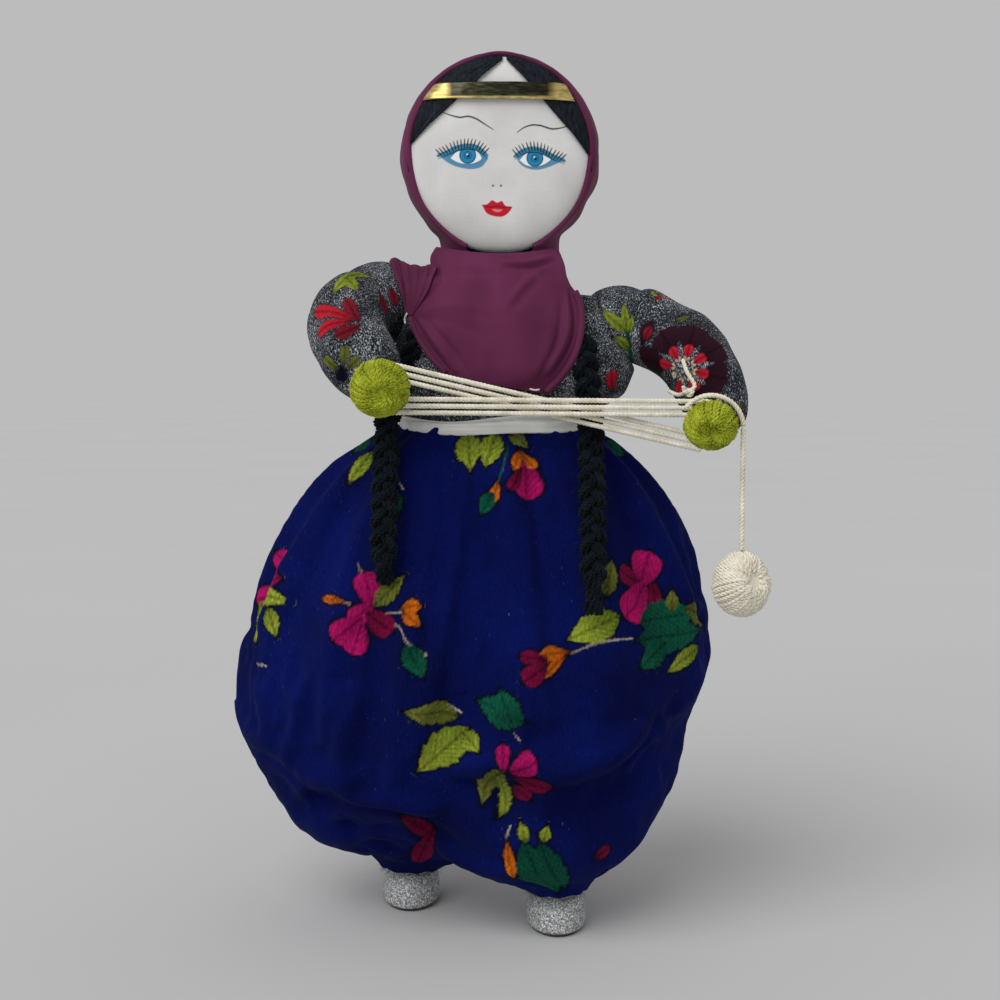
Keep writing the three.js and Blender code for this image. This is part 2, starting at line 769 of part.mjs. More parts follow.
function neckSkirt(less) {
  const low = COLLAR_Z + SKIRT_UP;
  const ring = (z, r) => oval(z, NECK_X - r, NECK_X + r, NECK_Y - r, NECK_Y + r, 28);
  const tall = [ring(low - less, SKIRT_R + CLOTH - less), ring(low + SKIRT_TALL, SKIRT_R - less)];
  return loft([...tall, ring(HEAD_Z, SKIRT_R + 3 * CLOTH - less)]);
}

function hoodForm() {
  const shell = headForm(GAP + CLOTH).subtract(headForm(GAP)).intersect(behind(-HOOD_EDGE));
  const skirt = neckSkirt(0).subtract(neckSkirt(CLOTH)).subtract(headForm(GAP));
  return largest(shell.subtract(neckHole(NECK_LOOSE)).add(skirt));
}

// Bib: chest cloth, collar and back point, with a strip over the right shoulder
function bibForm() {
  const top = COLLAR_Z + BIB_TOP;
  const side = CHEST_Z + BIB_SIDE;
  const deep = BIB_SIDE + BIB_LOW;
  const round = steps(Math.PI, 2 * Math.PI, 13).map((turn) => {
    return [BIB_X + BIB_HALF * Math.cos(turn), side + deep * Math.sin(turn)];
  });
  const chest = [[BIB_X - BIB_HALF, top], ...round, [BIB_X + BIB_HALF, top]];
  const back = [[NECK_X - BIB_BACK_HALF, top], [NECK_X, CHEST_Z - BIB_POINT], [NECK_X + BIB_BACK_HALF, top]];
  const outline = prism(chest, -2 * CHEST_FRONT, 0).add(prism(back, -CLOTH, 2 * CHEST_BACK));
  const cloth = trunkForm(BIB_OUT).subtract(trunkForm(OVER_IN)).intersect(outline);
  const strip = block(STRIP_TO, STRIP_FROM, 0, STRIP_BACK, COLLAR_Z - STRIP_LOW, top);
  const over = rootBall(RIGHT, ARM_CLEAR + CLOTH).intersect(strip).subtract(trunkForm(OVER_IN));
  return cloth.add(over).subtract(rootBall(RIGHT, ARM_CLEAR)).subtract(rootBall(LEFT, ARM_CLEAR));
}

// Pieces with their cuts
const sockets = SIDES.map((side) => rootBall(side, ARM_CLEAR));
const sleeves = SIDES.map((side) => armForm(side, GAP));
const threads = SIDES.map((side) => threadForm(side, GAP));
const clear = (body, cutters) => largest(cutters.reduce((left, cutter) => left.subtract(cutter), body));
const legs = SIDES.map((side) => legForm(side, GAP));
const shoes = SIDES.map((side) => shoeForm(side, GAP));
const sticks = SIDES.map((side) => legStick(side, GAP));

const pieces = new Map();
pieces.set("torso", clear(trunkForm(0), [...sockets, ...threads, spine(GAP)]));
pieces.set("spine_dowel", spine(0));
const blouseSlab = slab(WAIST_Z + GAP, COLLAR_Z - CLOTH);
const blouseShell = trunkForm(BLOUSE_OUT).subtract(trunkForm(BLOUSE_IN)).intersect(blouseSlab);
pieces.set("blouse", clear(blouseShell, [...sockets, ...sleeves, ...threads]));
const sashRing = trunkForm(SASH_OUT).subtract(trunkForm(OVER_IN));
pieces.set("waist_sash", sashRing.intersect(slab(WAIST_Z + GAP, WAIST_Z + GAP + SASH_WIDE)));
const trouserShell = trouserForm(0).subtract(trouserForm(-TROUSER_CLOTH)).intersect(slab(HEM_Z, WAIST_Z));
pieces.set("trousers", clear(trouserShell, [trunkForm(GAP)]));
const filling = trouserForm(-TROUSER_CLOTH - GAP).intersect(slab(HEM_Z + GATHER, WAIST_Z - CLOTH));
pieces.set("trouser_stuffing", clear(filling, [trunkForm(GAP), ...legs, ...shoes, ...sticks]));
pieces.set("scarf_bib", largest(bibForm()));
pieces.set("scarf_hood", hoodForm());
pieces.set("face_pad", clear(headForm(0).intersect(before(-FACE_BACK)), [neckHole(NECK_LOOSE)]));
const headBack = headForm(0).intersect(behind(-FACE_BACK + GAP));
pieces.set("head_back", clear(headBack, [neckHole(NECK_LOOSE), spine(GAP)]));
pieces.set("headband", bandForm());
for (const side of SIDES) {
  const shoe = shoeForm(side, 0);
  pieces.set(`${side.name}_leg`, clear(legForm(side, 0), [legStick(side, GAP)]));
  pieces.set(`${side.name}_leg_stick`, legStick(side, 0));
  pieces.set(`${side.name}_shoe`, clear(shoe, [legStick(side, GAP)]));
  pieces.set(`${side.name}_hair_panel`, hairForm(side));
  const besideBraid = [trunkForm(BIB_OUT + GAP), trouserForm(GAP), ...sleeves];
  pieces.set(`${side.name}_braid_top`, clear(braidTop(side), besideBraid));
  pieces.set(`${side.name}_braid`, clear(braidLow(side), [trouserForm(GAP), trunkForm(SASH_OUT + GAP)]));
  pieces.set(`${side.name}_arm`, clear(armForm(side, 0), [threadForm(side, GAP), wireForm(side, GAP)]));
  pieces.set(`${side.name}_arm_wire`, wireForm(side, 0));
  pieces.set(`${side.name}_hand`, clear(handForm(side), [wireForm(side, GAP)]));
  pieces.set(`${side.name}_shoulder_thread`, threadForm(side, 0));
}
const strand = skeinPoints();
pieces.set("skein", tube(strand, YARN / 2, 6));
pieces.set("yarn_knot", knotForm());
pieces.set("yarn_lead", leadForm());
pieces.set("drop_yarn", dropForm());
pieces.set("yarn_ball", yarnBall());
console.log(`least gap of the skein to itself ${(selfGap(strand, 6) - YARN).toFixed(2)} mm`);

// Colours and finish
const look = (color, roughness, metalness = 0) => ({ color, roughness, metalness });
const LOOKS = {
  cotton: look(0xe6e3dc, 0.9),
  flowered_grey: look(0x4a4c52, 0.95),
  flowered_blue: look(0x14206e, 0.95),
  plum: look(0x6a2a4c, 0.85),
  satin: look(0xd8d8d2, 0.45),
  black_wool: look(0x0e1013, 0.95),
  green_wool: look(0x969b2d, 0.95),
  cream_yarn: look(0xe2dcc8, 0.9),
  gold_tape: look(0xb8963c, 0.25, 1),
  glitter: look(0x9a9d9d, 0.45, 0.6),
  wood: look(0xc9a878, 0.7),
  wire: look(0x8a8c8e, 0.4, 1),
};
const CLOTHS = {
  torso: "cotton",
  spine_dowel: "wood",
  blouse: "flowered_grey",
  waist_sash: "satin",
  trousers: "flowered_blue",
  trouser_stuffing: "cotton",
  scarf_bib: "plum",
  scarf_hood: "plum",
  face_pad: "cotton",
  head_back: "cotton",
  headband: "gold_tape",
  leg: "cotton",
  leg_stick: "wood",
  shoe: "glitter",
  hair_panel: "black_wool",
  braid_top: "black_wool",
  braid: "black_wool",
  arm: "flowered_grey",
  arm_wire: "wire",
  hand: "green_wool",
  shoulder_thread: "cotton",
  skein: "cream_yarn",
  yarn_knot: "cream_yarn",
  yarn_lead: "cream_yarn",
  drop_yarn: "cream_yarn",
  yarn_ball: "cream_yarn",
};

// Bottom centre of the whole, without the free strand and its ball
const box = new THREE.Box3();
for (const [name, body] of pieces) {
  if (name === "drop_yarn" || name === "yarn_ball") continue;
  const { min, max } = body.boundingBox();
  box.expandByPoint(v(...min));
  box.expandByPoint(v(...max));
}
const base = v(-(box.min.x + box.max.x) / 2, -(box.min.y + box.max.y) / 2, -box.min.z);

const doll = new THREE.Group();
doll.name = "rag_doll";
for (const [name, body] of pieces) {
  const mesh = body.getMesh();
  const geometry = new THREE.BufferGeometry();
  geometry.setAttribute("position", new THREE.BufferAttribute(Float32Array.from(mesh.vertProperties), 3));
  geometry.setIndex(new THREE.BufferAttribute(Uint32Array.from(mesh.triVerts), 1));
  geometry.translate(base.x, base.y, base.z);
  geometry.computeVertexNormals();
  const kind = CLOTHS[name] ?? CLOTHS[name.replace(/^(left|right)_/, "")];
  const node = new THREE.Mesh(geometry, new THREE.MeshStandardMaterial(LOOKS[kind]));
  node.name = name;
  doll.add(node);
}
console.log(`moved by ${base.toArray().map((d) => d.toFixed(3)).join(", ")}`);

export default doll;
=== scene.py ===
"""Looks of the rag doll winding yarn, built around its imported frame. Metres, +Z up, the front faces -Y."""

import json
import math
from contextlib import contextmanager

import bmesh
import bpy
import numpy as np
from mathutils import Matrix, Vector
from mathutils.bvhtree import BVHTree


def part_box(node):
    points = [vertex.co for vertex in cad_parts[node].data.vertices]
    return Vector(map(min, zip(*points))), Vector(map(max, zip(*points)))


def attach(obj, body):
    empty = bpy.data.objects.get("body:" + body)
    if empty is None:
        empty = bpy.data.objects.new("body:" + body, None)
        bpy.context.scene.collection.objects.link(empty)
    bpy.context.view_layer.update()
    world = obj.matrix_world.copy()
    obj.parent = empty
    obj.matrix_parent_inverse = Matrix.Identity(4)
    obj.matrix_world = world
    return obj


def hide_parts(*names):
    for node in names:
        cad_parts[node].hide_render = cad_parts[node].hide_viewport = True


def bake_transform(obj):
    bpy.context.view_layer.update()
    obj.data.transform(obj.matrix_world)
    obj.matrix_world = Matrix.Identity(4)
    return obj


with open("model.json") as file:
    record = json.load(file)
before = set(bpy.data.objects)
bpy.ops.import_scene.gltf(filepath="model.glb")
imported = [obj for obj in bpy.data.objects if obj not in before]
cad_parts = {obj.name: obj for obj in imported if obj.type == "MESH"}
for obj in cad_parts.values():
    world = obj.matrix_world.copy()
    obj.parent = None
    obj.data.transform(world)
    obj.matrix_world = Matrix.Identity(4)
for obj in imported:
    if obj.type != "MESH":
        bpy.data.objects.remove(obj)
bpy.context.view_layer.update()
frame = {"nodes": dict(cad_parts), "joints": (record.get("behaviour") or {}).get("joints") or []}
chance = np.random.default_rng(11)

# The doll's own millimetres, set in the frame by the neck's hinge
MM = 0.001
NECK = np.array([4.0, 7.0, 280.0])
JOINTS = {joint["name"]: joint for joint in frame["joints"]}
BASE = np.array(JOINTS["head_turn"]["pos_m"]) - NECK * MM

HEAD = np.array([4.0, 0.0, 308.0])
HEAD_TALL = 1.05
CHIN_TALL = 1.1
FACE_R = 35.5
FACE_RIM_Y = -12.0
FACE_ROUND = 9.5
FACE_SHOWN = 34.7
HOOD_EDGE_Y = -15.5
WAIST_Z = 202.0
HEM_Z = 15.5
COLLAR_Z = 264.0
YARN = 2.0
GAP = 0.35
WRIST_R = 2.9
BRAID_R = 6.0
BRAID_HINGE_Z = 206.0
HANDS = {"left": np.array([81.8, -55.0, 202.5]), "right": np.array([-40.0, -56.0, 217.0])}
HAND_R = {"left": 10.5, "right": 11.5}

# The camera of the photograph
EYE = np.array([4.0, -630.0, 225.0])
AIM = np.array([4.0, 0.0, 171.0])
FOCAL_PX = 1560.0
MIDDLE_PX = 500.0
SENSOR_MM = 36.0

# Starts of rays, clear of the doll
OUTSIDE = 300.0
TOP_Z = 300.0


def at(points):
    """Points of the doll's millimetres in the frame."""
    return np.asarray(points, float) * MM + BASE


def own(places):
    """Places of the frame in the doll's millimetres."""
    return (np.asarray(places, float) - BASE) / MM


def unit(vector):
    return np.asarray(vector, float) / np.linalg.norm(vector)


def climb(value, start, reach):
    """From 0 at the start to 1 at the end of the reach, level beyond both."""
    return np.clip((value - start) / reach, 0, 1)


def bell(far, wide):
    """1 in the middle, fading out to both sides."""
    return np.exp(-((far / wide) ** 2))


def between(one, other, share):
    return one + (other - one) * share


def linked(name, data):
    """A new object in the scene."""
    obj = bpy.data.objects.new(name, data)
    bpy.context.scene.collection.objects.link(obj)
    return obj


def looking(way):
    """Rotation with which a camera or a lamp looks along a direction."""
    return Vector(way).to_track_quat("-Z", "Y").to_euler()


def add_camera():
    data = bpy.data.cameras.new("camera")
    data.sensor_width = SENSOR_MM
    data.lens = FOCAL_PX * SENSOR_MM / (2 * MIDDLE_PX)
    camera = linked("camera", data)
    camera.location = at(EYE)
    camera.rotation_euler = looking(AIM - EYE)
    bpy.context.scene.camera = camera


def picture_ray(spot):
    """Direction from the eye through a place in the picture."""
    ahead = unit(AIM - EYE)
    right = unit(np.cross(ahead, (0, 0, 1)))
    up = np.cross(right, ahead)
    return unit(ahead * FOCAL_PX + right * (spot[0] - MIDDLE_PX) - up * (spot[1] - MIDDLE_PX))


# Meshes


class Heap:
    """Points and faces of one piece, gathered part by part."""

    def __init__(self):
        self.points = []
        self.faces = []
        self.count = 0

    def grid(self, rows, around=False, caps=False):
        """A net of rows of points, closed around or with its ends capped."""
        high, wide = rows.shape[:2]
        first = self.count
        self.points.append(rows.reshape(-1, 3))
        self.count += high * wide
        for i in range(high - 1):
            for k in range(wide if around else wide - 1):
                a = first + i * wide + k
                b = first + i * wide + (k + 1) % wide
                self.faces.append((a, b, b + wide, a + wide))
        if caps:
            self.faces.append(tuple(range(first + wide - 1, first - 1, -1)))
            last = first + (high - 1) * wide
            self.faces.append(tuple(range(last, last + wide)))

    def piece(self, name):
        return new_object(name, np.concatenate(self.points), self.faces)


def new_object(name, points, faces):
    mesh = bpy.data.meshes.new(name)
    mesh.from_pydata(at(points).tolist(), [], faces)
    return linked(name, mesh)


def net_piece(name, rows):
    heap = Heap()
    heap.grid(rows)
    return heap.piece(name)


@contextmanager
def net_of(obj):
    """The piece's net, open for edits."""
    net = bmesh.new()
    net.from_mesh(obj.data)
    yield net
    net.to_mesh(obj.data)
    net.free()


def read(obj, what):
    flat = np.empty(3 * len(obj.data.vertices))
    obj.data.vertices.foreach_get(what, flat)
    return flat.reshape(-1, 3)


def points_of(obj):
    return own(read(obj, "co"))


def normals_of(obj):
    return read(obj, "normal")


def move_points(obj, points):
    obj.data.vertices.foreach_set("co", at(points).ravel())
    obj.data.update()


def raise_points(obj, amount):
    """Moves each point along its normal."""
    move_points(obj, points_of(obj) + normals_of(obj) * amount[:, None])


def frozen(obj):
    """Keeps the shape that the modifiers give."""
    bpy.context.view_layer.update()
    graph = bpy.context.evaluated_depsgraph_get()
    mesh = bpy.data.meshes.new_from_object(obj.evaluated_get(graph))
    obj.modifiers.clear()
    obj.data = mesh


def shape(obj, kind, **settings):
    modifier = obj.modifiers.new(kind, kind)
    for key, value in settings.items():
        setattr(modifier, key, value)
    frozen(obj)


def subdivide(obj, levels):
    shape(obj, "SUBSURF", levels=levels, render_levels=levels)


def relax(obj, rounds):
    shape(obj, "SMOOTH", factor=0.5, iterations=rounds)


def keep_largest(obj):
    """Drops all but the largest connected part."""
    with net_of(obj) as net:
        waiting = set(net.verts)
        parts = []
        while waiting:
            part = [waiting.pop()]
            for vert in part:
                for edge in vert.link_edges:
                    other = edge.other_vert(vert)
                    if other in waiting:
                        waiting.remove(other)
                        part.append(other)
            parts.append(part)
        parts.sort(key=len)
        loose = [vert for part in parts[:-1] for vert in part]
        bmesh.ops.delete(net, geom=loose, context="VERTS")


def skin(name, nodes, voxel, rounds, core=None):
    """Outer skin of some CAD solids as one even net, relaxed, closed over a core where they are thin."""
    net = bmesh.new()
    for node in nodes:
        net.from_mesh(frame["nodes"][node].data)
    if core:
        net.from_mesh(core.data)
        bpy.data.objects.remove(core)
    mesh = bpy.data.meshes.new(name)
    net.to_mesh(mesh)
    net.free()
    obj = linked(name, mesh)
    shape(obj, "REMESH", mode="VOXEL", voxel_size=voxel * MM)
    keep_largest(obj)
    relax(obj, rounds)
    return obj


def cut(obj, z, keep_above):
    """Cuts the net level at a height."""
    with net_of(obj) as net:
        geometry = net.verts[:] + net.edges[:] + net.faces[:]
        plane = {"plane_co": at((0, 0, z)), "plane_no": (0, 0, 1)}
        sides = {"clear_outer": not keep_above, "clear_inner": keep_above}
        bmesh.ops.bisect_plane(net, geom=geometry, **plane, **sides)


def open_faces(obj, gone):
    """Takes out the faces whose middle answers true."""
    with net_of(obj) as net:
        out = [face for face in net.faces if gone(own(face.calc_center_median()))]
        bmesh.ops.delete(net, geom=out, context="FACES")


class Surface:
    """A piece's net, to find places on it: the point and its normal, or None."""

    def __init__(self, obj):
        bpy.context.view_layer.update()
        self.tree = BVHTree.FromObject(obj, bpy.context.evaluated_depsgraph_get())

    def seen(self, spot):
        """What lies under a place in the picture."""
        return self.hit(EYE, picture_ray(spot))

    def hit(self, start, way):
        return self.answer(self.tree.ray_cast(at(start), way))

    def ahead(self, x, z):
        """What is met from the front at a place."""
        return self.hit((x, -OUTSIDE, z), (0, 1, 0))

    def near(self, point):
        return self.answer(self.tree.find_nearest(at(point)))

    @staticmethod
    def answer(found):
        if found[0] is None:
            return None
        return own(found[0]), np.array(found[1])


# Lines


def run(points, step=1.0, count=None):
    """Even points on a smooth line through the given ones."""
    points = np.asarray(points, float)
    long = np.linalg.norm(np.diff(points, axis=0), axis=1)
    way = np.concatenate([[0], np.cumsum(long)])
    slope = np.gradient(points, way, axis=0)
    want = np.linspace(0, way[-1], count or max(2, int(round(way[-1] / step)) + 1))
    i = np.clip(np.searchsorted(way, want, side="right") - 1, 0, len(points) - 2)
    span = (way[i + 1] - way[i])[:, None]
    t = (want - way[i])[:, None] / span
    start = (2 * t**3 - 3 * t**2 + 1) * points[i] + (t**3 - 2 * t**2 + t) * span * slope[i]
    return start + (3 * t**2 - 2 * t**3) * points[i + 1] + (t**3 - t**2) * span * slope[i + 1]


def axes(points):
    """Two directions across a line at each point, turning with it as little as they can."""
    along = np.gradient(points, axis=0)
    along /= np.linalg.norm(along, axis=1)[:, None]
    side = np.array([0.0, 0.0, 1.0]) if abs(along[0][2]) < 0.8 else np.array([1.0, 0.0, 0.0])
    across = np.empty_like(along)
    for i, way in enumerate(along):
        side = unit(side - way * side.dot(way))
        across[i] = side
    return across, np.cross(along, across)


def add_tube(heap, points, radius, sides=6):
    across, up = axes(points)
    turn = np.linspace(0, 2 * math.pi, sides, endpoint=False)
    size = np.broadcast_to(radius, len(points))[:, None, None]
    ring = across[:, None] * np.cos(turn)[None, :, None] + up[:, None] * np.sin(turn)[None, :, None]
    heap.grid(points[:, None] + ring * size, around=True, caps=True)


PLY_OFF = 0.5
PLY_R = 0.54


def add_yarn(heap, points, radius, lay=4.4, plies=3, step=0.7, sides=6):
    """Twisted plies along a line."""
    line = run(points, step)
    across, up = axes(line)
    way = np.arange(len(line)) * step
    start = chance.random()
    for ply in range(plies):
        turn = 2 * math.pi * (way / lay + start + ply / plies)
        off = across * np.cos(turn)[:, None] + up * np.sin(turn)[:, None]
        add_tube(heap, line + off * radius * PLY_OFF, radius * PLY_R, sides)


FIBRE_POINTS = 5
FIBRE_TIP = 0.4


def add_fibre(heap, root, way, long, thick, curl):
    """One fine loose fibre."""
    bend = unit(np.cross(way, chance.normal(size=3)))
    share = np.linspace(0, 1, FIBRE_POINTS)[:, None]
    line = root + unit(way) * long * share + bend * curl * share**2
    add_tube(heap, line, thick * np.linspace(1, FIBRE_TIP, FIBRE_POINTS), sides=3)


# Finishes


def srgb(red, green, blue):
    """Colour as seen on a screen, from 0 to 255, as light."""
    share = np.array([red, green, blue]) / 255
    return tuple(np.where(share <= 0.04045, share / 12.92, ((share + 0.055) / 1.055) ** 2.4))


class Finish:
    """A procedural material, built from a few kinds of node."""

    def __init__(self, name, **fixed):
        self.material = bpy.data.materials.new(name)
        self.material.use_nodes = True
        self.tree = self.material.node_tree
        self.shader = self.tree.nodes["Principled BSDF"]
        for socket, value in fixed.items():
            self.shader.inputs[socket.replace("_", " ")].default_value = value
        self.place = self.node("ShaderNodeTexCoord").outputs["Object"]

    def node(self, kind, inputs=None, **settings):
        node = self.tree.nodes.new(kind)
        for key, value in settings.items():
            setattr(node, key, value)
        for key, value in (inputs or {}).items():
            self.feed(node.inputs[key], value)
        return node

    def feed(self, socket, value):
        if isinstance(value, bpy.types.NodeSocket):
            self.tree.links.new(value, socket)
        else:
            socket.default_value = value

    def noise(self, scale, detail=3.0):
        place = self.node("ShaderNodeMapping", {"Vector": self.place, "Scale": scale}).outputs["Vector"]
        inputs = {"Vector": place, "Scale": 1.0, "Detail": detail}
        return self.node("ShaderNodeTexNoise", inputs).outputs["Fac"]

    def bands(self, scale, direction):
        inputs = {"Vector": self.place, "Scale": scale, "Distortion": 1.2, "Detail Scale": 2.0}
        return self.node("ShaderNodeTexWave", inputs, bands_direction=direction).outputs["Fac"]

    def weave(self, scale):
        return self.maths("MULTIPLY", self.bands(scale, "X"), self.bands(scale, "Z"))

    def ramp(self, share, *stops):
        node = self.node("ShaderNodeValToRGB", {"Fac": share})
        ends = node.color_ramp.elements
        while len(ends) < len(stops):
            ends.new(0.5)
        for end, (position, colour) in zip(ends, stops):
            end.position = position
            end.color = (*colour, 1.0)
        return node.outputs["Color"]

    def mix(self, share, one, other, blend="MIX"):
        inputs = {"Factor": share, 6: one, 7: other}
        return self.node("ShaderNodeMix", inputs, data_type="RGBA", blend_type=blend).outputs[2]

    def maths(self, work, one, other):
        return self.node("ShaderNodeMath", {0: one, 1: other}, operation=work).outputs[0]

    def print(self):
        """Colour and cover of what is printed on the piece, or of the painted reflection on the gold tape.
        """
        node = self.node("ShaderNodeVertexColor", layer_name=PRINT)
        return node.outputs["Color"], node.outputs["Alpha"]

    def colour(self, value):
        self.feed(self.shader.inputs["Base Color"], value)

    def bump(self, height, distance, strength=0.6):
        inputs = {"Height": height, "Distance": distance * MM, "Strength": strength}
        self.feed(self.shader.inputs["Normal"], self.node("ShaderNodeBump", inputs).outputs["Normal"])


WEAVE = 640.0
DULL = 0.12
PRINT = "Print"
BLACK = (0, 0, 0)
WHITE = (1, 1, 1)


def face_cotton():
    """White cotton with a fine weave, the printed face over it."""
    look = Finish("face_cotton", Roughness=0.85, Specular_IOR_Level=DULL)
    print_colour, shown = look.print()
    weave = look.weave(WEAVE)
    cotton = look.ramp(look.noise((60, 60, 60)), (0.3, srgb(222, 221, 219)), (0.7, srgb(240, 239, 236)))
    shaded = look.mix(0.12, cotton, weave, "MULTIPLY")
    look.colour(look.mix(shown, shaded, print_colour))
    look.bump(weave, distance=0.12, strength=0.35)
    return look.material


def plain_cotton():
    """Undyed cotton of the stuffed inside."""
    look = Finish("stuffed_cotton", Roughness=0.9)
    weave = look.weave(WEAVE)
    look.colour(look.ramp(weave, (0.0, srgb(206, 200, 188)), (1.0, srgb(232, 228, 218))))
    look.bump(weave, distance=0.15, strength=0.4)
    return look.material


MELANGE = [
    (0.42, srgb(26, 28, 32)),
    (0.52, srgb(58, 62, 68)),
    (0.61, srgb(120, 125, 131)),
    (0.71, srgb(206, 209, 212)),
]


def flowered_grey():
    """Black and white melange with short upright streaks, printed flowers over it."""
    look = Finish("flowered_grey", Roughness=0.95, Specular_IOR_Level=DULL)
    print_colour, shown = look.print()
    streaks = look.noise((2300, 2300, 1300), detail=2.0)
    cloudy = look.maths("SUBTRACT", look.noise((70, 70, 70), detail=2.0), 0.5)
    melange = look.ramp(look.maths("ADD", streaks, look.maths("MULTIPLY", cloudy, 0.4)), *MELANGE)
    threads = look.ramp(streaks, (0.35, (0.25, 0.25, 0.25)), (0.65, WHITE))
    printed = look.mix(0.25, print_colour, threads, "MULTIPLY")
    look.colour(look.mix(shown, melange, printed))
    look.bump(streaks, distance=0.35)
    return look.material


def flowered_blue():
    """Cobalt wool with a raised nap, lint and printed flowers."""
    sheen = {"Sheen_Weight": 0.03, "Sheen_Roughness": 0.5, "Sheen_Tint": (*srgb(120, 140, 220), 1.0)}
    look = Finish("flowered_blue", Roughness=0.95, Specular_IOR_Level=0.06, **sheen)
    print_colour, shown = look.print()
    nap = look.noise((1300, 1300, 420))
    blue = look.ramp(look.noise((26, 26, 26)), (0.3, srgb(4, 9, 58)), (0.7, srgb(7, 19, 88)))
    fibres = look.ramp(nap, (0.3, (0.55, 0.55, 0.6)), (0.7, (1.3, 1.3, 1.25)))
    wool = look.mix(0.6, blue, fibres, "MULTIPLY")
    lint = look.ramp(look.noise((420, 420, 300), detail=1.0), (0.8, BLACK), (0.84, WHITE))
    wool = look.mix(look.maths("MULTIPLY", lint, 0.3), wool, (*srgb(120, 130, 190), 1.0))
    printed = look.mix(0.8, print_colour, fibres, "MULTIPLY")
    frayed = look.maths("ADD", shown, look.maths("MULTIPLY", look.maths("SUBTRACT", nap, 0.5), 1.1))
    cover = look.ramp(frayed, (0.22, BLACK), (0.78, WHITE))
    look.colour(look.mix(cover, wool, printed))
    look.bump(nap, distance=0.4)
    return look.material


def plum_scarf():
    """Thin plum cotton with a close weave."""
    look = Finish("plum_scarf", Roughness=0.75, Specular_IOR_Level=DULL, Sheen_Weight=0.04)
    weave = look.weave(WEAVE * 1.2)
    plum = look.ramp(look.noise((45, 45, 20)), (0.3, srgb(92, 34, 66)), (0.7, srgb(116, 48, 86)))
    look.colour(look.mix(0.25, plum, weave, "MULTIPLY"))
    look.bump(weave, distance=0.1, strength=0.4)
    return look.material


def satin():
    """White satin ribbon with its fine ribs along it."""
    look = Finish("satin", Roughness=0.38, Sheen_Weight=0.1)
    ribbon = look.ramp(look.noise((40, 40, 400)), (0.3, srgb(206, 206, 202)), (0.7, srgb(236, 236, 232)))
    look.colour(ribbon)
    look.bump(look.bands(520.0, "Z"), distance=0.12, strength=0.4)
    return look.material


def grained(name, scale, detail, dark, light, relief, **fixed):
    """A lighter and darker grain with a low relief."""
    look = Finish(name, **fixed)
    grain = look.noise(scale, detail)
    look.colour(look.ramp(grain, dark, light))
    look.bump(grain, *relief)
    return look.material


def black_cloth():
    """Black cotton of the hair panels."""
    stops = (0.35, srgb(12, 15, 20)), (0.7, srgb(32, 40, 50))
    fixed = {"Roughness": 0.7, "Specular_IOR_Level": DULL}
    return grained("black_cloth", (900, 900, 260), 2.0, *stops, (0.2, 0.5), **fixed)


def wool(name, dark, light):
    """Spun wool: lighter and darker fibres along the strand."""
    look = Finish(name, Roughness=0.95, Specular_IOR_Level=DULL, Sheen_Weight=0.03)
    fibres = look.noise((1500, 1500, 1500))
    both = look.maths("ADD", fibres, look.noise((160, 160, 160), detail=2.0))
    look.colour(look.ramp(look.maths("MULTIPLY", both, 0.5), (0.35, dark), (0.62, light)))
    look.bump(fibres, distance=0.25)
    return look.material


def gold_tape():
    """Gold tape; its middle is painted dark, a painted reflection of dark surroundings in the foil."""
    look = Finish("gold_tape", Metallic=0.9, Roughness=0.32)
    _, shown = look.print()
    scratches = look.noise((220, 220, 900))
    gold = look.ramp(scratches, (0.35, srgb(172, 146, 78)), (0.65, srgb(222, 204, 134)))
    # Painted reflection: the dark colour of the foil in the band's middle
    painted_reflection = look.ramp(scratches, (0.4, srgb(18, 21, 18)), (0.68, srgb(58, 62, 52)))
    look.colour(look.mix(shown, gold, painted_reflection))
    look.bump(scratches, distance=0.04, strength=0.3)
    return look.material


GRAINS = [
    (0.1, srgb(112, 116, 118)),
    (0.5, srgb(168, 172, 172)),
    (0.85, srgb(212, 215, 213)),
    (0.97, srgb(250, 250, 248)),
]


def glitter():
    """Silver glitter cloth: each grain tilts its own way; it is darker at its lowest two millimetres, down
    at the floor.
    """
    look = Finish("glitter", Metallic=0.3, Roughness=0.6)
    grains = look.node("ShaderNodeTexVoronoi", {"Vector": look.place, "Scale": 2200.0})
    split = look.node("ShaderNodeSeparateColor", {"Color": grains.outputs["Color"]})
    silver = look.ramp(split.outputs["Red"], *GRAINS)
    height = look.node("ShaderNodeSeparateXYZ", {"Vector": look.place}).outputs["Z"]
    # Darker towards the bottom: colour below about 2 mm height is darkened.
    edge = look.ramp(look.maths("MULTIPLY", height, 100.0), (0.12, (0.08, 0.08, 0.09)), (0.2, WHITE))
    look.colour(look.mix(1.0, silver, edge, "MULTIPLY"))
    look.bump(split.outputs["Green"], distance=0.35, strength=0.7)
    return look.material


def stick_wood():
    stops = (0.3, srgb(176, 138, 92)), (0.7, srgb(214, 182, 138))
    return grained("stick_wood", (500, 500, 25), 4.0, *stops, (0.1, 0.3), Roughness=0.7)


def steel_wire():
    stops = (0.3, srgb(110, 112, 114)), (0.7, srgb(170, 172, 174))
    return grained("wire", (900, 900, 900), 2.0, *stops, (0.05, 0.3), Metallic=1.0, Roughness=0.4)


LOOKS = {
    "stuffed_cotton": plain_cotton(),
    "face_cotton": face_cotton(),
    "flowered_grey": flowered_grey(),
    "flowered_blue": flowered_blue(),
    "plum_scarf": plum_scarf(),
    "satin": satin(),
    "black_cloth": black_cloth(),
    "black_wool": wool("black_wool", srgb(4, 8, 12), srgb(17, 27, 34)),
    "green_wool": wool("green_wool", srgb(96, 106, 10), srgb(186, 196, 56)),
    "cream_yarn": wool("cream_yarn", srgb(212, 204, 180), srgb(246, 241, 226)),
    "gold_tape": gold_tape(),
    "glitter": glitter(),
    "stick_wood": stick_wood(),
    "wire": steel_wire(),
}


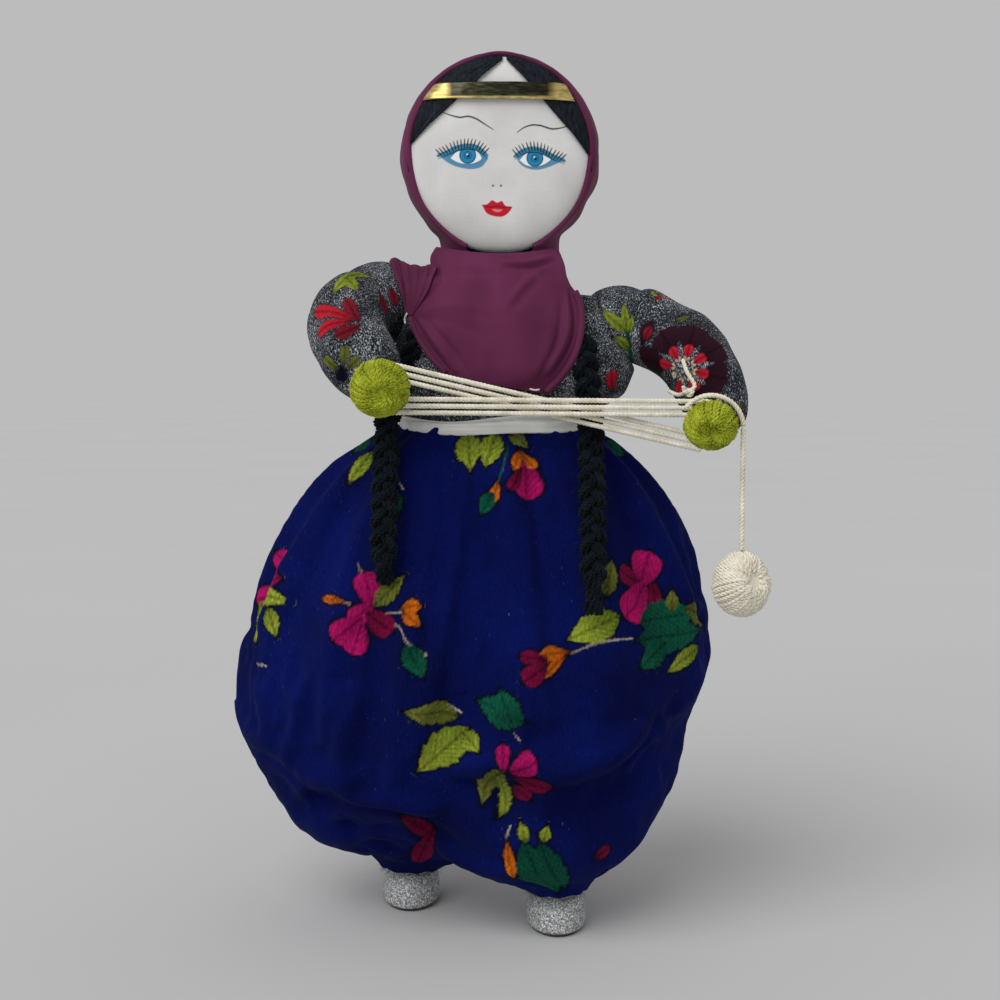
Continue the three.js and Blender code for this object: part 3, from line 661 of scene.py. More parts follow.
def dress(obj, body, slot, *nodes):
    """Gives a piece its finish and its body, and the CAD nodes that it stands for."""
    obj.data.materials.clear()
    obj.data.materials.append(LOOKS[slot])
    obj.data.polygons.foreach_set("use_smooth", [True] * len(obj.data.polygons))
    if body:
        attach(obj, body)
    if nodes:
        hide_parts(*nodes)
    return obj


# Folds and prints on cloth


def to_line(points, line):
    """Distance of each point to a line of points, and the share of the way along it."""
    best = np.full(len(points), 1e9)
    share = np.zeros(len(points))
    count = len(line) - 1
    for i in range(count):
        start, way = line[i], line[i + 1] - line[i]
        t = np.clip((points - start) @ way / max(way.dot(way), 1e-12), 0, 1)
        far = np.linalg.norm(points - start - t[:, None] * way, axis=1)
        nearer = far < best
        best[nearer] = far[nearer]
        share[nearer] = (i + t[nearer]) / count
    return best, share


FOLD_FADE = 0.6


def fold(obj, line, rise, wide):
    """Raises or sinks a fold along a line on the cloth, fading out at both ends."""
    if line is not None:
        far, share = to_line(points_of(obj), line)
        raise_points(obj, rise * bell(far, wide) * np.sin(np.pi * np.clip(share, 0, 1)) ** FOLD_FADE)


SEEN_STEP_PX = 4.0


def seen_line(surface, spots, step=3.0):
    """A line on the cloth under places in the picture."""
    found = [hit[0] for hit in map(surface.seen, run(spots, SEEN_STEP_PX)) if hit]
    return run(found, step) if len(found) > 1 else None


def fold_all(obj, folds):
    """Folds along lines in the picture: rise and width of each; returns the cloth as it was."""
    surface = Surface(obj)
    for spots, rise, wide in folds:
        fold(obj, seen_line(surface, spots), rise, wide)
    return surface


EDGE = 0.5
LIME = (srgb(70, 92, 22), srgb(160, 172, 56))
OLIVE = (srgb(60, 66, 24), srgb(122, 128, 52))
LEAF_GREEN = (srgb(6, 46, 40), srgb(16, 92, 66))
MAGENTA = (srgb(112, 6, 62), srgb(176, 20, 98))
WINE = (srgb(70, 6, 34), srgb(120, 12, 58))
ORANGE = (srgb(150, 62, 8), srgb(212, 112, 18))
PALE = (srgb(112, 104, 94), srgb(160, 152, 142))
RED = (srgb(150, 16, 34), srgb(206, 36, 54))
DARK_RED = (srgb(96, 14, 30), srgb(140, 28, 44))
MAROON = (srgb(26, 10, 20), srgb(52, 18, 32))
CREAM = (srgb(214, 180, 140), srgb(232, 220, 196))
NIGHT = (srgb(8, 10, 30), srgb(8, 10, 30))


def leaf_form(s):
    """Half width of a leaf along its length, with a toothed edge."""
    teeth = 0.2 * (1 - (s * 5.0) % 1.0)
    return np.sin(np.pi * s**0.8) * (0.86 + teeth)


def petal_form(s):
    return np.sqrt(np.clip(s * 1.1, 0, 1)) * np.sqrt(np.clip(1 - s**5, 0, 1))


def bud_form(s):
    return np.sin(np.pi * s**1.3) ** 0.8


# Kinds of motif: a tone and a form
CREAM_BUD = (CREAM, bud_form)
DARK_RED_BUD = (DARK_RED, bud_form)
DARK_RED_PETAL = (DARK_RED, petal_form)
GREEN_LEAF = (LEAF_GREEN, leaf_form)
LIME_LEAF = (LIME, leaf_form)
MAGENTA_PETAL = (MAGENTA, petal_form)
MAROON_BUD = (MAROON, bud_form)
MAROON_PETAL = (MAROON, petal_form)
NIGHT_PETAL = (NIGHT, petal_form)
OLIVE_LEAF = (OLIVE, leaf_form)
OLIVE_PETAL = (OLIVE, petal_form)
ORANGE_BUD = (ORANGE, bud_form)
ORANGE_LEAF = (ORANGE, leaf_form)
RED_BUD = (RED, bud_form)
RED_PETAL = (RED, petal_form)
WINE_BUD = (WINE, bud_form)
WINE_PETAL = (WINE, petal_form)


def toned(tone, share):
    """Colour between a tone's dark and light one."""
    return np.array(tone[0]) * (1 - share) + np.array(tone[1]) * share


HATCH = 2.1
HATCH_SLANT = 0.7
RIB = 0.7
RIB_DARK = 0.55
HALO_STRENGTH = 0.75


class Print:
    """Colours printed on a cloth, or the gold band's painted reflection, kept as a colour at each point."""

    def __init__(self, obj):
        self.obj = obj
        self.surface = Surface(obj)
        self.points = points_of(obj)
        self.normals = normals_of(obj)
        self.colour = np.zeros((len(self.points), 4))

    def lay(self, pick, mask, tone):
        mask = mask[:, None]
        held = self.colour[pick]
        under = held[:, 3:]
        cover = np.maximum(mask, 1e-6) / np.maximum(mask + under * (1 - mask), 1e-6)
        self.colour[pick, :3] = held[:, :3] * (1 - cover) + tone * cover
        self.colour[pick, 3:] = under + mask * (1 - under)

    def blade(self, base, tip, wide, tone, form, grow=0.0, strength=1.0):
        """A leaf, petal or bud from its base to its tip."""
        way = tip - base
        long = np.linalg.norm(way)
        way = way / long
        middle = (base + tip) / 2
        normal = self.surface.near(middle)[1]
        side = unit(np.cross(normal, way))
        reach = np.linalg.norm(self.points - middle, axis=1) < long * 0.75 + wide + grow
        pick = np.nonzero(reach & (self.normals @ normal > 0.1))[0]
        away = self.points[pick] - base
        s = away @ way / long
        t = np.abs(away @ side)
        half = wide / 2 * form(np.clip(s, 0.001, 0.999)) + grow
        ends = np.clip((grow + 0.02 * long + np.minimum(s, 1 - s) * long) / EDGE + 0.5, 0, 1)
        mask = np.clip((half - t) / (EDGE + grow) + 0.5, 0, 1) * ends * strength
        hatch = 0.5 + 0.5 * np.cos(2 * np.pi * (s * long * HATCH_SLANT + t) / HATCH)
        blend = np.clip(0.75 * s + 0.35 * hatch, 0, 1)[:, None]
        self.lay(pick, mask, toned(tone, blend) * np.clip(t / RIB, RIB_DARK, 1)[:, None])

    def line(self, points, wide, tone):
        """A stem or an outline."""
        far, share = to_line(self.points, points)
        pick = np.nonzero(far < wide + EDGE)[0]
        mask = np.clip((wide / 2 - far[pick]) / EDGE + 0.5, 0, 1)
        self.lay(pick, mask, toned(tone, share[pick][:, None]))

    def motifs(self, rows, find, halo, stems=(), full=1.0):
        """Motifs on a dark halo: kind, base, tip and width in millimetres; stems lie under them."""
        placed = []
        for (tone, form), *spots, wide in rows:
            ends = find(spots[:2]), find(spots[2:])
            if None not in ends:
                placed.append((ends[0][0], ends[1][0], wide * full, tone, form))
        for base, tip, wide, _, form in placed:
            self.blade(base, tip, wide, NIGHT, form, halo, HALO_STRENGTH)
        for spots, wide, tone in stems:
            stem = seen_line(self.surface, spots, step=1.0)
            if stem is not None:
                self.line(stem, wide, tone)
        for motif in placed:
            self.blade(*motif)

    def spray(self, anchor, turn, rows, halo):
        """Motifs around an anchor on the cloth, their ends given in the spray's own plane."""
        middle, normal = anchor
        right = unit(np.cross((0, 0, 1), normal))
        up = np.cross(normal, right)
        c, s = math.cos(turn), math.sin(turn)

        def find(spot):
            u, w = spot
            return self.surface.near(middle + right * (u * c - w * s) + up * (u * s + w * c))

        self.motifs(rows, find, halo)

    def save(self):
        attribute = self.obj.data.color_attributes.new(PRINT, "FLOAT_COLOR", "POINT")
        attribute.data.foreach_set("color", self.colour.astype(np.float32).ravel())


# Yarn: the drop with its ball comes first, then the skein, the knot and the lead

YARN_END = HANDS["left"]
LEAD_R = HAND_R["left"] + YARN / 2 + GAP
DROP_TOP = YARN_END + (LEAD_R, 0, 0)
DROP_LONG = 45.5
DROP_POINTS = 20
BALL_SIZE = np.array([11.3, 9.6, 13.5])
BALL_STRANDS = 38
BALL_FACING = (0.5, -0.8, 0.3)
BALL_RINGS = 13
BALL_LAPS = 20
DIMPLE = (0.3, 0.42)
BACK_DIMPLE = (0.12, 0.5)
STRAND_ENDS = (0.16, 0.5)
STRAND_POINTS = 15
CORE_DEEP = 1.3


def yarn_piece(name, body, node, lines, radius=YARN / 2):
    heap = Heap()
    for line in lines:
        add_yarn(heap, line, radius)
    return dress(heap.piece(name), body, "cream_yarn", node)


def wound_ball(name, middle, size, facing, strands, thick, swirl, pear):
    """Yarn wound over and over through the middle: strands run from the dimple in front to the back."""
    front = unit(facing)
    side = unit(np.cross((0, 0, 1), front))
    up = np.cross(front, side)
    heap = Heap()

    def place(polar, lap, deep):
        dip = 1 - DIMPLE[0] * bell(polar, DIMPLE[1])
        dip = dip - BACK_DIMPLE[0] * bell(math.pi - polar, BACK_DIMPLE[1])
        way = (
            front * np.cos(polar)[..., None]
            + side * (np.sin(polar) * np.cos(lap))[..., None]
            + up * (np.sin(polar) * np.sin(lap))[..., None]
        )
        lean = 1 + pear * way[..., 2:] - pear * 0.6 * np.abs(way[..., 2:])
        return middle + way * (size - deep) * dip[..., None] * lean

    spot = np.linspace(0, math.pi, BALL_RINGS)[1:-1]
    lap = np.linspace(0, 2 * math.pi, BALL_LAPS, endpoint=False)
    polar, around = np.meshgrid(spot, lap, indexing="ij")
    heap.grid(place(polar, around, thick * CORE_DEEP), around=True, caps=True)
    for k in range(strands):
        for layer in (0.0, 0.5):
            begin = chance.uniform(*STRAND_ENDS)
            finish = math.pi - chance.uniform(*STRAND_ENDS)
            way = np.linspace(begin, finish, STRAND_POINTS)
            turn = 2 * math.pi * (k + layer + chance.uniform(-0.2, 0.2)) / strands
            turn = turn + swirl * np.cos(way + chance.uniform(-0.3, 0.3)) + chance.uniform(-0.05, 0.05)
            deep = thick * (1.0 + chance.uniform(-0.1, 0.35) + layer * 0.5)
            line = place(way, turn, deep)
            line[0] -= front * thick
            line[-1] += front * thick
            add_yarn(heap, line, thick, lay=3.4, plies=2, step=0.8, sides=5)
    return heap.piece(name)


def drop_and_ball():
    path = DROP_TOP + np.array([[0, 0, -z] for z in np.linspace(GAP, DROP_LONG, DROP_POINTS)])
    strand = yarn_piece("drop_strand", "drop", "drop_yarn", [path])
    middle = DROP_TOP - (0, 0, DROP_LONG + GAP + BALL_SIZE[2])
    wind = {"strands": BALL_STRANDS, "thick": 0.95, "swirl": 0.06, "pear": 0.1}
    ball = wound_ball("wound_yarn_ball", middle, BALL_SIZE, BALL_FACING, **wind)
    dress(ball, "ball", "cream_yarn", "yarn_ball")


YARN_Y = -41.0
TURNS = 3
PITCH = 2.55
CROSS = 1.4
ARC_POINTS = 13
OPEN_TURN = 0.9
TURN_LEAST = WRIST_R + 0.3 + YARN / 2
TURN_MOST = TURN_LEAST + PITCH * (TURNS - 1)


def skein_points():
    """One strand in a figure of eight around both wrists."""
    start, end = (np.array([HANDS[side][0], YARN_Y, HANDS[side][2]]) for side in ("left", "right"))
    along = unit(end - start)
    up = unit(np.cross((0, 1, 0), along))
    up = up if up[2] > 0 else -up
    half = math.pi / 2 + math.asin((TURN_LEAST + TURN_MOST) / np.linalg.norm(end - start))

    def around(middle, facing, r0, r1, side0, side1, y0, y1):
        arc = []
        for t in np.linspace(0, 1, ARC_POINTS):
            turn = half * (side0 * (1 - t) + side1 * t)
            r = between(r0, r1, t)
            off = np.array([0, between(y0, y1, t), 0])
            arc.append(middle + along * facing * r * math.cos(turn) + up * r * math.sin(turn) + off)
        return arc

    points = []
    for k in range(TURNS):
        here = TURN_LEAST + PITCH * k
        there = TURN_MOST - PITCH * k
        if k:
            points += around(start, -1, here - PITCH, here, -1, 1, CROSS, -CROSS)
        else:
            points += around(start, -1, here, here, OPEN_TURN, 1, -CROSS, -CROSS)[-3:]
        points += around(end, 1, there, there, -1, 1, -CROSS, CROSS)
    return points + around(start, -1, TURN_MOST, TURN_MOST, -1, -OPEN_TURN, CROSS, CROSS)[:3]


def fine_line(points, step):
    """Points along a broken line, straight between its corners."""
    out = []
    for start, end in zip(points[:-1], points[1:]):
        parts = max(1, int(round(np.linalg.norm(end - start) / step)))
        out += [start + (end - start) * k / parts for k in range(parts)]
    return np.array(out + [points[-1]])


KNOT_R = 2.4
KNOT = YARN_END + (-7.0, 0, TURN_MOST + YARN / 2 + KNOT_R + GAP)
KNOT[1] = YARN_Y + YARN / 2
TAILS_PX = [[(694, 388), (688, 372), (684, 360)], [(682, 394), (672, 390), (663, 389)]]
TAIL_LIFT = YARN / 2 + 0.2
KNOT_YARN = YARN * 0.42
KNOT_TURN = 3.2 * math.pi
KNOT_POINTS = 40
KNOT_WRAP = (1.5, 1.3, 0.9)
KNOT_CROSS = (1.8, 1.2, 1.6)
KNOT_FRONT = 0.8
LEAD_POINTS = 24
LEAD_TURN = (0.8 * math.pi, 0.05)


def skein_and_knot(sleeve):
    yarn_piece("cream_skein", "left_arm", "skein", [fine_line(skein_points(), step=2.0)])

    turn = np.linspace(0, KNOT_TURN, KNOT_POINTS)
    wide, deep, high = KNOT_WRAP
    rise = np.linspace(-high, high, KNOT_POINTS)
    wrap = np.stack([np.cos(turn) * wide, np.sin(turn) * deep, rise], axis=1)
    turn = turn[: KNOT_POINTS // 2]
    wide, deep, high = KNOT_CROSS
    span = np.linspace(-wide, wide, len(turn))
    cross = np.stack([span, np.sin(turn) * deep - KNOT_FRONT, np.cos(turn) * high], axis=1)
    lines = [KNOT + wrap, KNOT + cross]
    for spots in TAILS_PX:
        lines.append([KNOT] + [hit[0] + hit[1] * TAIL_LIFT for hit in map(sleeve.seen, spots) if hit])
    yarn_piece("knotted_yarn", "left_arm", "yarn_knot", lines, KNOT_YARN)

    turn = np.linspace(*LEAD_TURN, LEAD_POINTS)
    lead = YARN_END + np.stack([np.cos(turn), np.zeros(LEAD_POINTS), np.sin(turn)], axis=1) * LEAD_R
    yarn_piece("lead_strand", "left_arm", "yarn_lead", [lead])


HAND_STRANDS = {"left": 36, "right": 40}
HAND_FACING = {"left": (0.05, -0.95, -0.3), "right": (0.25, -0.93, -0.18)}
HAND_PEAR = {"left": 0.1, "right": 0.0}
HAND_FORM = np.array([1.0, 1.0, 0.97])


def wool_hands():
    for side, middle in HANDS.items():
        wind = {"strands": HAND_STRANDS[side], "thick": 0.85, "swirl": 0.3, "pear": HAND_PEAR[side]}
        hand = wound_ball(f"{side}_wool_hand", middle, HAND_FORM * HAND_R[side], HAND_FACING[side], **wind)
        dress(hand, f"{side}_arm", "green_wool", f"{side}_hand")


# Head: printed face, hair, band and hood


def tall(w):
    """How much longer the face is upward or downward than to the side."""
    return np.where(w > 0, HEAD_TALL, CHIN_TALL)


def over_face(u, w, lift):
    """Point on the face at u to the side of its middle and w above it, lifted off the cloth."""
    r = np.hypot(u, w / tall(w))
    y = FACE_RIM_Y - FACE_ROUND * np.sqrt(np.clip(1 - (r / FACE_R) ** 4, 0, 1))
    return np.stack([HEAD[0] + u, y - lift, HEAD[2] + w], axis=-1)


FACE_MIDDLE_PX = np.array([500.0, 149.4])
FACE_SCALE = np.array([0.384, -0.386])
FACE_NET = 300
FACE_STEP = 0.25
FACE_SOFT = 0.22
FACE_CLOSE = 0.998
FACE_BACK = (-9.0, -6.2)
FACE_BACK_IN = 0.97
FACE_RIPPLE = 0.12
BROWS = [
    [(441, 112), (453.5, 116.5), (459.6, 117.8), (468.8, 117), (475, 118.8), (484, 124.2), (493.3, 130)],
    [(517.3, 132.6), (524, 128), (533, 125.4), (539, 125.7), (553, 129.1), (562, 127.7), (570, 125)],
]
EYES = [
    {
        "iris": (467.7, 155.1),
        "white": [
            (450, 158), (457, 151), (468.8, 147.5), (477, 151),
            (482, 158.6), (475, 163), (467, 164), (457, 162),
        ],
        "lid": [(438, 153), (447, 150), (458, 145.6), (468, 144), (478, 146), (487, 153)],
        "low": [(437, 153), (449, 162.5), (461, 167), (472, 168.3), (481, 166.3), (488, 158.6)],
    },
    {
        "iris": (534.9, 157.9),
        "white": [
            (519, 160), (525, 154), (534, 150), (543, 152),
            (551, 159.5), (546, 163.5), (536, 166.5), (526, 165),
        ],
        "lid": [(514.7, 154), (522, 149.4), (533, 147), (542, 148.7), (553, 154), (564.5, 157.9)],
        "low": [
            (515.5, 155.6), (521, 164), (530, 168.3), (537.7, 168.9),
            (548.4, 166.3), (557.6, 162.5), (564.5, 159.4),
        ],
    },
]
IRIS_R = 3.25
PUPIL_R = IRIS_R * 0.2
PUPIL_OFF = (0.2, -0.2)
GLINT_R = 0.3
GLINT_OFF = (-0.2, 0.3)
LASHES = 16
LASH_LONG = 3.6
NOSTRILS = [(493, 185), (501, 185)]
LIPS = [
    (481.8, 203.8), (487, 203), (492.5, 199.2), (497, 201.5), (501.7, 200), (505.5, 204.5), (512, 206),
    (509.3, 210.7), (502.5, 215.3), (494.8, 215), (487, 212.2),
]
MOUTH = [(481.8, 203.8), (489, 206), (497, 205.2), (505, 206.4), (512, 206)]
SHINE = [(493, 208.5), (497, 209.5), (501.5, 209)]
INK = srgb(24, 22, 26)
EYE_BLUE = srgb(44, 138, 184)
EYE_DEEP = srgb(18, 66, 106)
LID_BLUE = srgb(58, 132, 164)
LOW_BLUE = srgb(40, 138, 186)
EYE_WHITE = srgb(246, 247, 248)
LIP_RED = srgb(204, 34, 50)
LIP_DARK = srgb(146, 18, 36)
LIP_SHINE = srgb(236, 168, 172)
NOSE_INK = srgb(84, 72, 72)
IRIS_RINGS = [
    (IRIS_R, EYE_DEEP),
    (IRIS_R - 0.4, EYE_BLUE),
    (IRIS_R * 0.46, EYE_DEEP),
    (IRIS_R * 0.38, EYE_BLUE),
]


def on_face(spots):
    """Places in the picture, in millimetres from the face's middle."""
    return (np.array(spots) - FACE_MIDDLE_PX) * FACE_SCALE


class FacePrint(Print):
    """The printed face, drawn in millimetres from its middle."""

    def __init__(self, obj):
        super().__init__(obj)
        self.flat = (self.points - HEAD)[:, [0, 2]]
        self.front = self.normals[:, 1] < 0

    def curve(self, spots, closed=False):
        return run(on_face(spots + spots[:1] if closed else spots), FACE_STEP)

    def beside(self, line, more):
        reach = np.abs(self.flat - line.mean(0)).max(1) < np.ptp(line, axis=0).max() + more
        return np.nonzero(reach & self.front)[0]

    def ink(self, pick, inside, tone, soft, strength=1.0):
        """Colour by how far inside the edge each point lies."""
        self.lay(pick, np.clip(inside / soft + 0.5, 0, 1) * strength, np.array(tone))

    def stroke(self, line, wide, tone, soft, strength=1.0):
        pick = self.beside(line, 3)
        far, share = to_line(self.flat[pick], line)
        half = wide / 2 * np.interp(share, [0, 0.3, 0.7, 1], [0.5, 1, 1, 0.5])
        self.ink(pick, half - far, tone, soft, strength)

    def fill(self, line, tone, soft=FACE_SOFT, strength=1.0):
        pick = self.beside(line, 0)
        points = self.flat[pick]
        far, _ = to_line(points, np.concatenate([line, line[:1]]))
        inside = np.zeros(len(points), bool)
        for (x0, y0), (x1, y1) in zip(line, np.roll(line, -1, axis=0)):
            spans = (y0 > points[:, 1]) != (y1 > points[:, 1])
            cross = x0 + (points[:, 1] - y0) * (x1 - x0) / (y1 - y0 if y1 != y0 else 1e-9)
            inside ^= spans & (points[:, 0] < cross)
        self.ink(pick, np.where(inside, far, -far), tone, soft, strength)

    def dot(self, middle, r, tone, soft=FACE_SOFT):
        far = np.linalg.norm(self.flat - middle, axis=1)
        pick = np.nonzero((far < r + 1) & self.front)[0]
        self.ink(pick, r - far[pick], tone, soft)


def draw_eye(face, eye):
    lid = face.curve(eye["lid"])
    low = face.curve(eye["low"])
    face.fill(np.concatenate([lid, low[::-1]]), LOW_BLUE, soft=0.5, strength=0.9)
    white = face.curve(eye["white"], closed=True)
    face.fill(white, EYE_WHITE)
    iris = on_face(eye["iris"])
    for r, tone in IRIS_RINGS:
        face.dot(iris, r, tone)
    face.dot(iris + PUPIL_OFF, PUPIL_R, INK)
    face.dot(iris + GLINT_OFF, GLINT_R, EYE_WHITE)
    face.stroke(lid + (0, -0.9), wide=2.2, tone=LID_BLUE, soft=0.3)
    face.stroke(lid + (0, -2.0), wide=0.45, tone=INK, soft=0.25, strength=0.9)
    face.stroke(white, wide=0.35, tone=EYE_DEEP, soft=0.25, strength=0.8)
    face.stroke(low, wide=0.35, tone=EYE_DEEP, soft=0.25, strength=0.5)
    middle = lid.mean(0) + (0, -6)
    for k in range(LASHES):
        root = lid[int((k + 0.5) / LASHES * (len(lid) - 1))]
        way = unit(unit(root - middle) + (0, 0.5))
        lash = np.array([root + way * LASH_LONG * t for t in np.linspace(-0.42, 0.58, 4)])
        face.stroke(lash, wide=0.5, tone=INK, soft=0.2)


def printed_face():
    """Face pad with its printed face, closed behind."""
    side = np.linspace(-1, 1, FACE_NET + 1)
    a, b = np.meshgrid(side, side)
    u = a * np.sqrt(1 - b**2 / 2) * FACE_R * FACE_CLOSE
    w = b * np.sqrt(1 - a**2 / 2) * FACE_R * FACE_CLOSE * tall(b)
    front = over_face(u, w, 0.0)
    ripple = FACE_RIPPLE * np.sin(u * 0.21 + 0.6) * np.cos(w * 0.17)
    front[..., 1] += ripple * np.clip(1 - np.hypot(u, w) / FACE_R, 0, 1)
    heap = Heap()
    heap.grid(front)
    edge = np.concatenate([front[0, :-1], front[:-1, -1], front[-1, :0:-1], front[:0:-1, 0]])
    rim = np.stack([edge] + [edge * (1, 0, 1) + (0, y, 0) for y in FACE_BACK])
    for axis in (0, 2):
        rim[2, :, axis] = between(HEAD[axis], edge[:, axis], FACE_BACK_IN)
    heap.grid(rim, around=True)
    last = heap.count - len(edge)
    heap.faces.append(tuple(range(last, last + len(edge))))
    obj = heap.piece("printed_face")
    with net_of(obj) as net:
        bmesh.ops.remove_doubles(net, verts=net.verts, dist=1e-6)
        bmesh.ops.recalc_face_normals(net, faces=net.faces)

    face = FacePrint(obj)
    for brow in BROWS:
        face.stroke(face.curve(brow), wide=0.6, tone=INK, soft=0.3)
    for eye in EYES:
        draw_eye(face, eye)
    for nostril in NOSTRILS:
        face.dot(on_face(nostril), r=0.42, tone=NOSE_INK, soft=0.4)
    face.fill(face.curve(LIPS, closed=True), LIP_RED, soft=0.3)
    face.stroke(face.curve(MOUTH), wide=0.5, tone=LIP_DARK, soft=0.3)
    face.stroke(face.curve(SHINE), wide=0.8, tone=LIP_SHINE, soft=0.5, strength=0.8)
    face.save()
    dress(obj, "head", "face_cotton", "face_pad")


HAIR_TOP = {"right": (502, 59), "left": (507, 59)}
HAIR_END = {"right": (410.6, 141), "left": (589.7, 152.5)}
HAIR_LIFT = 1.1
HAIR_TUCK = 0.55
HAIR_THICK = 0.8
HAIR_STRANDS = [(0.16, 26, 5), (0.1, 61, -9)]


def shares(rows, columns):
    """Shares of the way down and across a net."""
    return np.meshgrid(np.linspace(0, 1, rows), np.linspace(0, 1, columns), indexing="ij")


def hair_panels():
    """Black panels from the parting down to the temples, their outer edge under the hood."""
    for side in HANDS:
        top, end = on_face(HAIR_TOP[side]), on_face(HAIR_END[side])
        t, s = shares(rows=61, columns=25)
        turn = between(math.atan2(top[1], top[0]), math.atan2(end[1] / HEAD_TALL, end[0]), t)
        u = between(between(top[0], end[0], t), np.cos(turn) * FACE_SHOWN, s)
        w = between(between(top[1], end[1], t), np.sin(turn) * FACE_SHOWN * HEAD_TALL, s)
        strands = sum(rise * np.sin(fine * s + slant * t) for rise, fine, slant in HAIR_STRANDS)
        obj = net_piece(f"{side}_hair_cloth", over_face(u, w, HAIR_LIFT - HAIR_TUCK * s + strands))
        shape(obj, "SOLIDIFY", thickness=HAIR_THICK * MM, offset=0.0)
        dress(obj, "head", "black_cloth", f"{side}_hair_panel")


BAND_TOP = [(429, 83.6), (566, 83.6)]
BAND_FOOT = [(422, 99.4), (575, 101.2)]
BAND_BRIGHT = (444, 557)
BAND_LIFT = HAIR_LIFT + 0.8
BAND_THICK = 0.5
BAND_SHINY_FOOT = 0.7
BAND_WAVE = 0.08
BAND_PAINTED_REFLECTION = 0.97


def gold_band():
    """Gold tape laid over the hair, its middle painted dark as a painted reflection; its bright ends and
    shiny foot stay gold.
    """
    top, foot = on_face(BAND_TOP), on_face(BAND_FOOT)
    t, s = shares(rows=121, columns=17)
    high, low = (between(edge[0], edge[1], t[..., None]) for edge in (top, foot))
    flat = between(low, high, s[..., None])
    wave = BAND_WAVE * np.sin(40 * t + 3 * s)
    obj = net_piece("gold_band", over_face(flat[..., 0], flat[..., 1], BAND_LIFT + wave))
    shape(obj, "SOLIDIFY", thickness=BAND_THICK * MM, offset=0.0)
    # Painted reflection: this layer marks the band's middle, between its bright ends and above its shiny
    # foot, to be painted dark.
    painted_reflection = Print(obj)
    across = (painted_reflection.points[:, 0] - HEAD[0]) / FACE_SCALE[0] + FACE_MIDDLE_PX[0]
    height = painted_reflection.points[:, 2] - HEAD[2]
    dark = climb(across, BAND_BRIGHT[0], 8) * climb(across, BAND_BRIGHT[1], -10)
    painted_reflection.colour[:, 3] = dark * climb(height, foot[:, 1].mean() + BAND_SHINY_FOOT, 0.5) * BAND_PAINTED_REFLECTION
    painted_reflection.save()
    dress(obj, "head", "gold_tape", "headband")


RIM_R = 0.95
HOOD_FULL = 1.3
HOOD_LAP = 4.0
NECK_CORE = 23.5
HOOD_FOOT_Z = COLLAR_Z + 4.9
HOOD_PLEATS = 15
HOOD_PLEAT_DEEP = 0.55
HOOD_WAVE = 0.5
CHIN_SLOPE = 2.2
RIM_OPEN = 1.2
RIM_POINTS = 150
RIM_OUT = 0.6
RIM_WAVE = 0.25


def scarf_hood():
    """Scarf around the head, open at the face, drawn into the neck."""
    heap = Heap()
    neck = np.array([(NECK[0], NECK[1], z) for z in np.linspace(COLLAR_Z + 2, NECK[2] + 10, 9)])
    add_tube(heap, neck, NECK_CORE, sides=28)
    solids = ["scarf_hood", "head_back", "face_pad"]
    obj = skin("hood_cloth", solids, voxel=1.6, rounds=8, core=heap.piece("neck_core"))

    def at_face(p):
        u, w = p[0] - HEAD[0], p[2] - HEAD[2]
        under_chin = w < -abs(u) * CHIN_SLOPE
        return p[1] < HOOD_EDGE_Y + 0.6 and (under_chin or np.hypot(u, w / tall(w)) < FACE_SHOWN)

    open_faces(obj, at_face)
    keep_largest(obj)
    cut(obj, HOOD_FOOT_Z, keep_above=True)
    subdivide(obj, 1)
    points = points_of(obj)
    x, y, z = (points - HEAD).T
    back = climb(y, -12, 20)
    pleats = np.sin(np.arctan2(x, -z) * HOOD_PLEATS + 0.05 * y) * HOOD_PLEAT_DEEP
    pleats = pleats * climb(z, 0, -30) * back
    wave = HOOD_WAVE * np.sin(z * 0.32 + 0.12 * x + 0.2 * y) * back
    points = points + normals_of(obj) * (pleats + wave)[:, None]
    points[:, 0] += HOOD_FULL * x / FACE_R * climb(z, -30, 20)
    points[:, 2] -= HOOD_LAP * climb(points[:, 2], COLLAR_Z + 12, -7)
    move_points(obj, points)
    dress(obj, "head", "plum_scarf", "scarf_hood")

    heap = Heap()
    turn = np.linspace(-RIM_OPEN, math.pi + RIM_OPEN, RIM_POINTS)
    r = FACE_SHOWN + RIM_OUT + RIM_WAVE * np.sin(turn * 9)
    high = np.sin(turn) * r
    deep = np.full(RIM_POINTS, HOOD_EDGE_Y + 0.2)
    line = HEAD + np.stack([np.cos(turn) * r, deep, high * tall(high)], axis=1)
    add_tube(heap, line, RIM_R, sides=10)
    dress(heap.piece("hood_hem"), "head", "plum_scarf")


# Scarf bib, blouse and sash

BIB_LEFT = [(436, 246), (430, 256), (431, 276), (420, 297), (410, 316), (418, 338), (432, 358), (447, 375)]
BIB_RIGHT = [(558, 247), (565, 264), (569, 284), (579, 298), (582, 335), (574, 360), (561, 380), (545, 394)]
BIB_BOW = 6.0
BIB_ROWS = 76
BIB_COLUMNS = 96
BIB_LIFT = 0.8
BIB_STEP_BACK = 1.2
BIB_FOOT_Y = -20.0
HEM_OUT = 0.4
STRIP_LEFT = [(389, 259), (398, 288), (407, 317)]
STRIP_RIGHT = [(437, 268), (430, 290), (414, 316)]
STRIP_ROWS = 26
STRIP_COLUMNS = 60
STRIP_OVER = (17.0, 1.5)
STRIP_TURN = 10
STRIP_PLEATS = 4.5
STRIP_DEEP = (1.9, 0.7)
STRIP_ROUND = 0.7
STRIP_FADE = 0.25
STRIP_RISE = 3.0
BACK_EDGE_Y = -4.0
BACK_WAVE = 0.45
STITCH = 0.42
STITCH_LIFT = BIB_LIFT + 1.2
